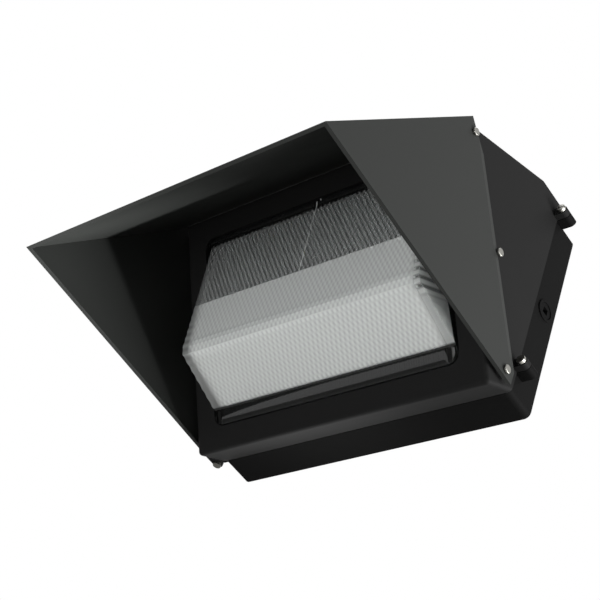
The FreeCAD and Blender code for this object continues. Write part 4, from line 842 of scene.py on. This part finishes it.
def pressed_glass():
    """Clear pressed glass with painted light on its prisms."""
    made, tree, out, place = material("pressed_refractor_glass")
    slope, proud = face_sockets(tree, place)
    x = add(tree, "SeparateXYZ", Vector=place).outputs["X"]
    below = below_zone(tree, slope)
    bowl = add(tree, "MapRange", Value=proud, From_Min=(RIM + EDGE) * MM,
               From_Max=(RIM + 2 * EDGE) * MM).outputs[0]
    painted_light_share = add(tree, "Mix", i0=bowl, i2=flute_painted_highlights(tree, x),
               i3=field_painted_light(tree, x, slope, end_ribs(tree, slope), below)).outputs[0]
    painted_light_share = add(tree, "Math", {"operation": "MAXIMUM"}, i0=painted_light_share,
               i1=seam_painted_highlight(tree, x, slope, below)).outputs[0]
    tint = add(tree, "Mix", {"data_type": "RGBA"}, i0=bowl, i6=srgb(RIM_TINT),
               i7=srgb(BOWL_TINT)).outputs[2]
    gloss = add(tree, "MapRange", Value=bowl, To_Min=0.0, To_Max=0.5).outputs[0]
    clear = add(tree, "BsdfPrincipled", Base_Color=tint, Roughness=0.06, IOR=GLASS_IOR,
                Specular_IOR_Level=gloss, Transmission_Weight=1.0)
    passing = add(tree, "Math", {"operation": "MULTIPLY"}, i0=end_share(tree, x),
                  i1=END_PASSING).outputs[0]
    milky = frosted(tree, "eef1f0", 0.4, passing)
    both = add(tree, "MixShader", i0=painted_light_share, i1=clear.outputs[0], i2=milky.outputs[0])
    return finish_material(made, tree, out, both)


PRESSED_GLASS = pressed_glass()

# %% [markdown]
# Inside of the pressed glass.  Above the line it is clear, but rough enough to blur what lies
# behind it, and a grey tint stands for the dim space there.  Below the line it is frosted almost
# everywhere.  The left end wall shows clear in the photograph, so the frosting ends before it.
# %% Diffusing glass
FROST_MIDDLE = 4.0
FROST_HALF = 157.0
FROST_PASSING = 0.45
FROST_SHARE = (0.05, 0.95)    # off and on the frosting: neither is pure


def diffusing_glass():
    """Glass frosted below the zone line, clear above it."""
    made, tree, out, place = material("diffusing_refractor_glass")
    slope = face_sockets(tree, place)[0]
    x = add(tree, "SeparateXYZ", Vector=place).outputs["X"]
    off = add(tree, "Math", {"operation": "SUBTRACT"}, i0=x, i1=FROST_MIDDLE * MM).outputs[0]
    off = add(tree, "Math", {"operation": "ABSOLUTE"}, i0=off).outputs[0]
    inner = add(tree, "Math", {"operation": "LESS_THAN"}, i0=off, i1=FROST_HALF * MM).outputs[0]
    frost = add(tree, "Math", {"operation": "MULTIPLY"}, i0=below_zone(tree, slope),
                i1=inner).outputs[0]
    share = add(tree, "MapRange", Value=frost, To_Min=FROST_SHARE[0],
                To_Max=FROST_SHARE[1]).outputs[0]
    clear = add(tree, "BsdfPrincipled", Base_Color=srgb("565a58"), Roughness=0.45, IOR=GLASS_IOR,
                Transmission_Weight=1.0)
    milky = frosted(tree, SCATTERED, 0.5, FROST_PASSING)
    both = add(tree, "MixShader", i0=share, i1=clear.outputs[0], i2=milky.outputs[0])
    return finish_material(made, tree, out, both)


DIFFUSING_GLASS = diffusing_glass()

# %% [markdown]
# The glass takes the place of the CAD's plain bowl and swings with the door.  Most faces of its
# prisms meet at 18 to 37 degrees.  Other pieces are shaded smooth over edges of up to 30 degrees,
# which would blur some of these, so here an edge counts as sharp from 5 degrees.
# %% Refractor
CRISP = 5
refractor = piece("refractor", bm, PRESSED_GLASS, "door", "lens", CRISP)
refractor.data.materials.append(DIFFUSING_GLASS)

# %% [markdown]
# The camera was fitted to the photograph's edges: a long lens, below and to the right of the
# light, turned about its own axis.  Aiming it at a point would leave no room for that turn, so its
# three axes are worked out from the direction it looks back along and from its roll.
# %% Camera
CAMERA_PLACE = Vector((0.8923, -0.8582, -1.0715))
AZIMUTH, RISE, ROLL = (math.radians(v) for v in (52.99, -41.78, 23.47))
SENSOR = 36.0
LENS = 82.016
back = Vector((math.sin(AZIMUTH) * math.cos(RISE), -math.cos(AZIMUTH) * math.cos(RISE),
               math.sin(RISE)))
level = Vector((math.cos(AZIMUTH), math.sin(AZIMUTH), 0))
upright = back.cross(level)
right = level * math.cos(ROLL) + upright * math.sin(ROLL)
up = upright * math.cos(ROLL) - level * math.sin(ROLL)
view = bpy.data.cameras.new("camera")
view.sensor_width = SENSOR
view.lens = LENS
camera = bpy.data.objects.new("camera", view)
turn = Matrix((right, up, back)).transposed().to_4x4()
camera.matrix_world = Matrix.Translation(CAMERA_PLACE) @ turn
bpy.context.scene.collection.objects.link(camera)
bpy.context.scene.camera = camera
bpy.context.scene.view_settings.view_transform = "Standard"
print("camera to the middle of the face, m:", round((CAMERA_PLACE - MIDDLE).length, 3))

# %% [markdown]
# The light hangs in a white studio, as in the photograph.  Its floor lies well below it and takes
# its shadow.  Lit only by the lamps the floor would look grey beside the white around it, so the
# camera sees it lifted, while it lights the object as plain matt paint.
# %% Floor
FLOOR_LEVEL = -1.35
FLOOR_HALF = 6
FLOOR_LIFT = 0.6


def pale_floor():
    """Matt pale paint that the camera sees lifted towards white."""
    made, tree, out, _ = material("pale_floor")
    path = add(tree, "LightPath")
    matt = add(tree, "BsdfPrincipled", Base_Color=srgb("d8d8d6"), Roughness=0.8)
    lift = add(tree, "Math", {"operation": "MULTIPLY"}, i0=path.outputs["Is Camera Ray"],
               i1=FLOOR_LIFT)
    glow = add(tree, "Emission", Color=srgb("ffffff"), Strength=lift.outputs[0])
    both = add(tree, "AddShader", i0=matt.outputs[0], i1=glow.outputs[0])
    return finish_material(made, tree, out, both)


ground = bmesh.new()
bmesh.ops.create_grid(ground, x_segments=1, y_segments=1, size=FLOOR_HALF,
                      matrix=Matrix.Translation((0, 0, FLOOR_LEVEL)))
floor_mesh = bpy.data.meshes.new("floor")
ground.to_mesh(floor_mesh)
ground.free()
floor_mesh.materials.append(pale_floor())
floor = bpy.data.objects.new("floor", floor_mesh)
bpy.context.scene.collection.objects.link(floor)
print("floor faces:", len(floor_mesh.polygons))

# %% [markdown]
# The world is the studio's white surround.  What looks at it directly sees it white: the camera,
# and reflections in metal and through glass.  As a source of light it is weak, so that the lamps
# shape the black castings, which would go flat in an even white light.
# %% World
FILL = 0.06
world = bpy.data.worlds.new("studio")
bpy.context.scene.world = world
world.use_nodes = True
tree = world.node_tree
tree.nodes.clear()
path = add(tree, "LightPath")
seen = add(tree, "Math", {"operation": "ADD", "use_clamp": True},
           i0=path.outputs["Is Camera Ray"], i1=path.outputs["Is Glossy Ray"])
seen = add(tree, "Math", {"operation": "ADD", "use_clamp": True}, i0=seen.outputs[0],
           i1=path.outputs["Is Transmission Ray"])
fill = add(tree, "Background", Color=srgb("ffffff"), Strength=FILL)
white = add(tree, "Background", Color=srgb("ffffff"), Strength=1.0)
both = add(tree, "MixShader", i0=seen.outputs[0], i1=fill.outputs[0], i2=white.outputs[0])
out = add(tree, "OutputWorld")
tree.links.new(both.outputs[0], out.inputs["Surface"])
print("world nodes:", len(tree.nodes))

# %% [markdown]
# Broad lamps give the soft light of the photograph.  The key lamp, behind on the right, and the
# side lamp light the outer side of the hood and the castings.  A narrow spot from low behind
# reaches under the castings and lights only the tip of the hood's inside, which fades into the
# dark.  The front lamp shows the glass, and the top lamp serves the views from above.
# %% Lamps
DOOR_MIDDLE = (0, -0.25, -0.05)
GLASS_MIDDLE = (0, -0.2, -0.05)
TOP_MIDDLE = (0, -0.2, 0)
HOOD_TIP = (-0.175, -0.39, -0.1)


def lamp(name, spot, aim, size, watts, cone=0):
    """Square area lamp, or with a cone in degrees a spot lamp, turned towards its aim."""
    data = bpy.data.lights.new(name, "SPOT" if cone else "AREA")
    if cone:
        data.spot_size = math.radians(cone)
        data.spot_blend = 1.0
        data.shadow_soft_size = size
    else:
        data.size = size
    data.energy = watts
    made = bpy.data.objects.new(name, data)
    made.location = spot
    made.rotation_euler = (Vector(aim) - Vector(spot)).to_track_quat("-Z", "Y").to_euler()
    bpy.context.scene.collection.objects.link(made)
    print("lamp:", name, watts, "W")


lamp("key", (1.6, 1.45, -0.5), DOOR_MIDDLE, size=1.0, watts=87)
lamp("side", (2.1, 0.4, -0.1), DOOR_MIDDLE, size=1.2, watts=32)
lamp("tip", (0.8, 1.7, -1.18), HOOD_TIP, size=0.11, watts=2300, cone=6.2)
lamp("front", (0.25, -1.3, -1.15), GLASS_MIDDLE, size=1.0, watts=20)
lamp("top", (-0.5, -0.2, 1.9), TOP_MIDDLE, size=1.5, watts=30)
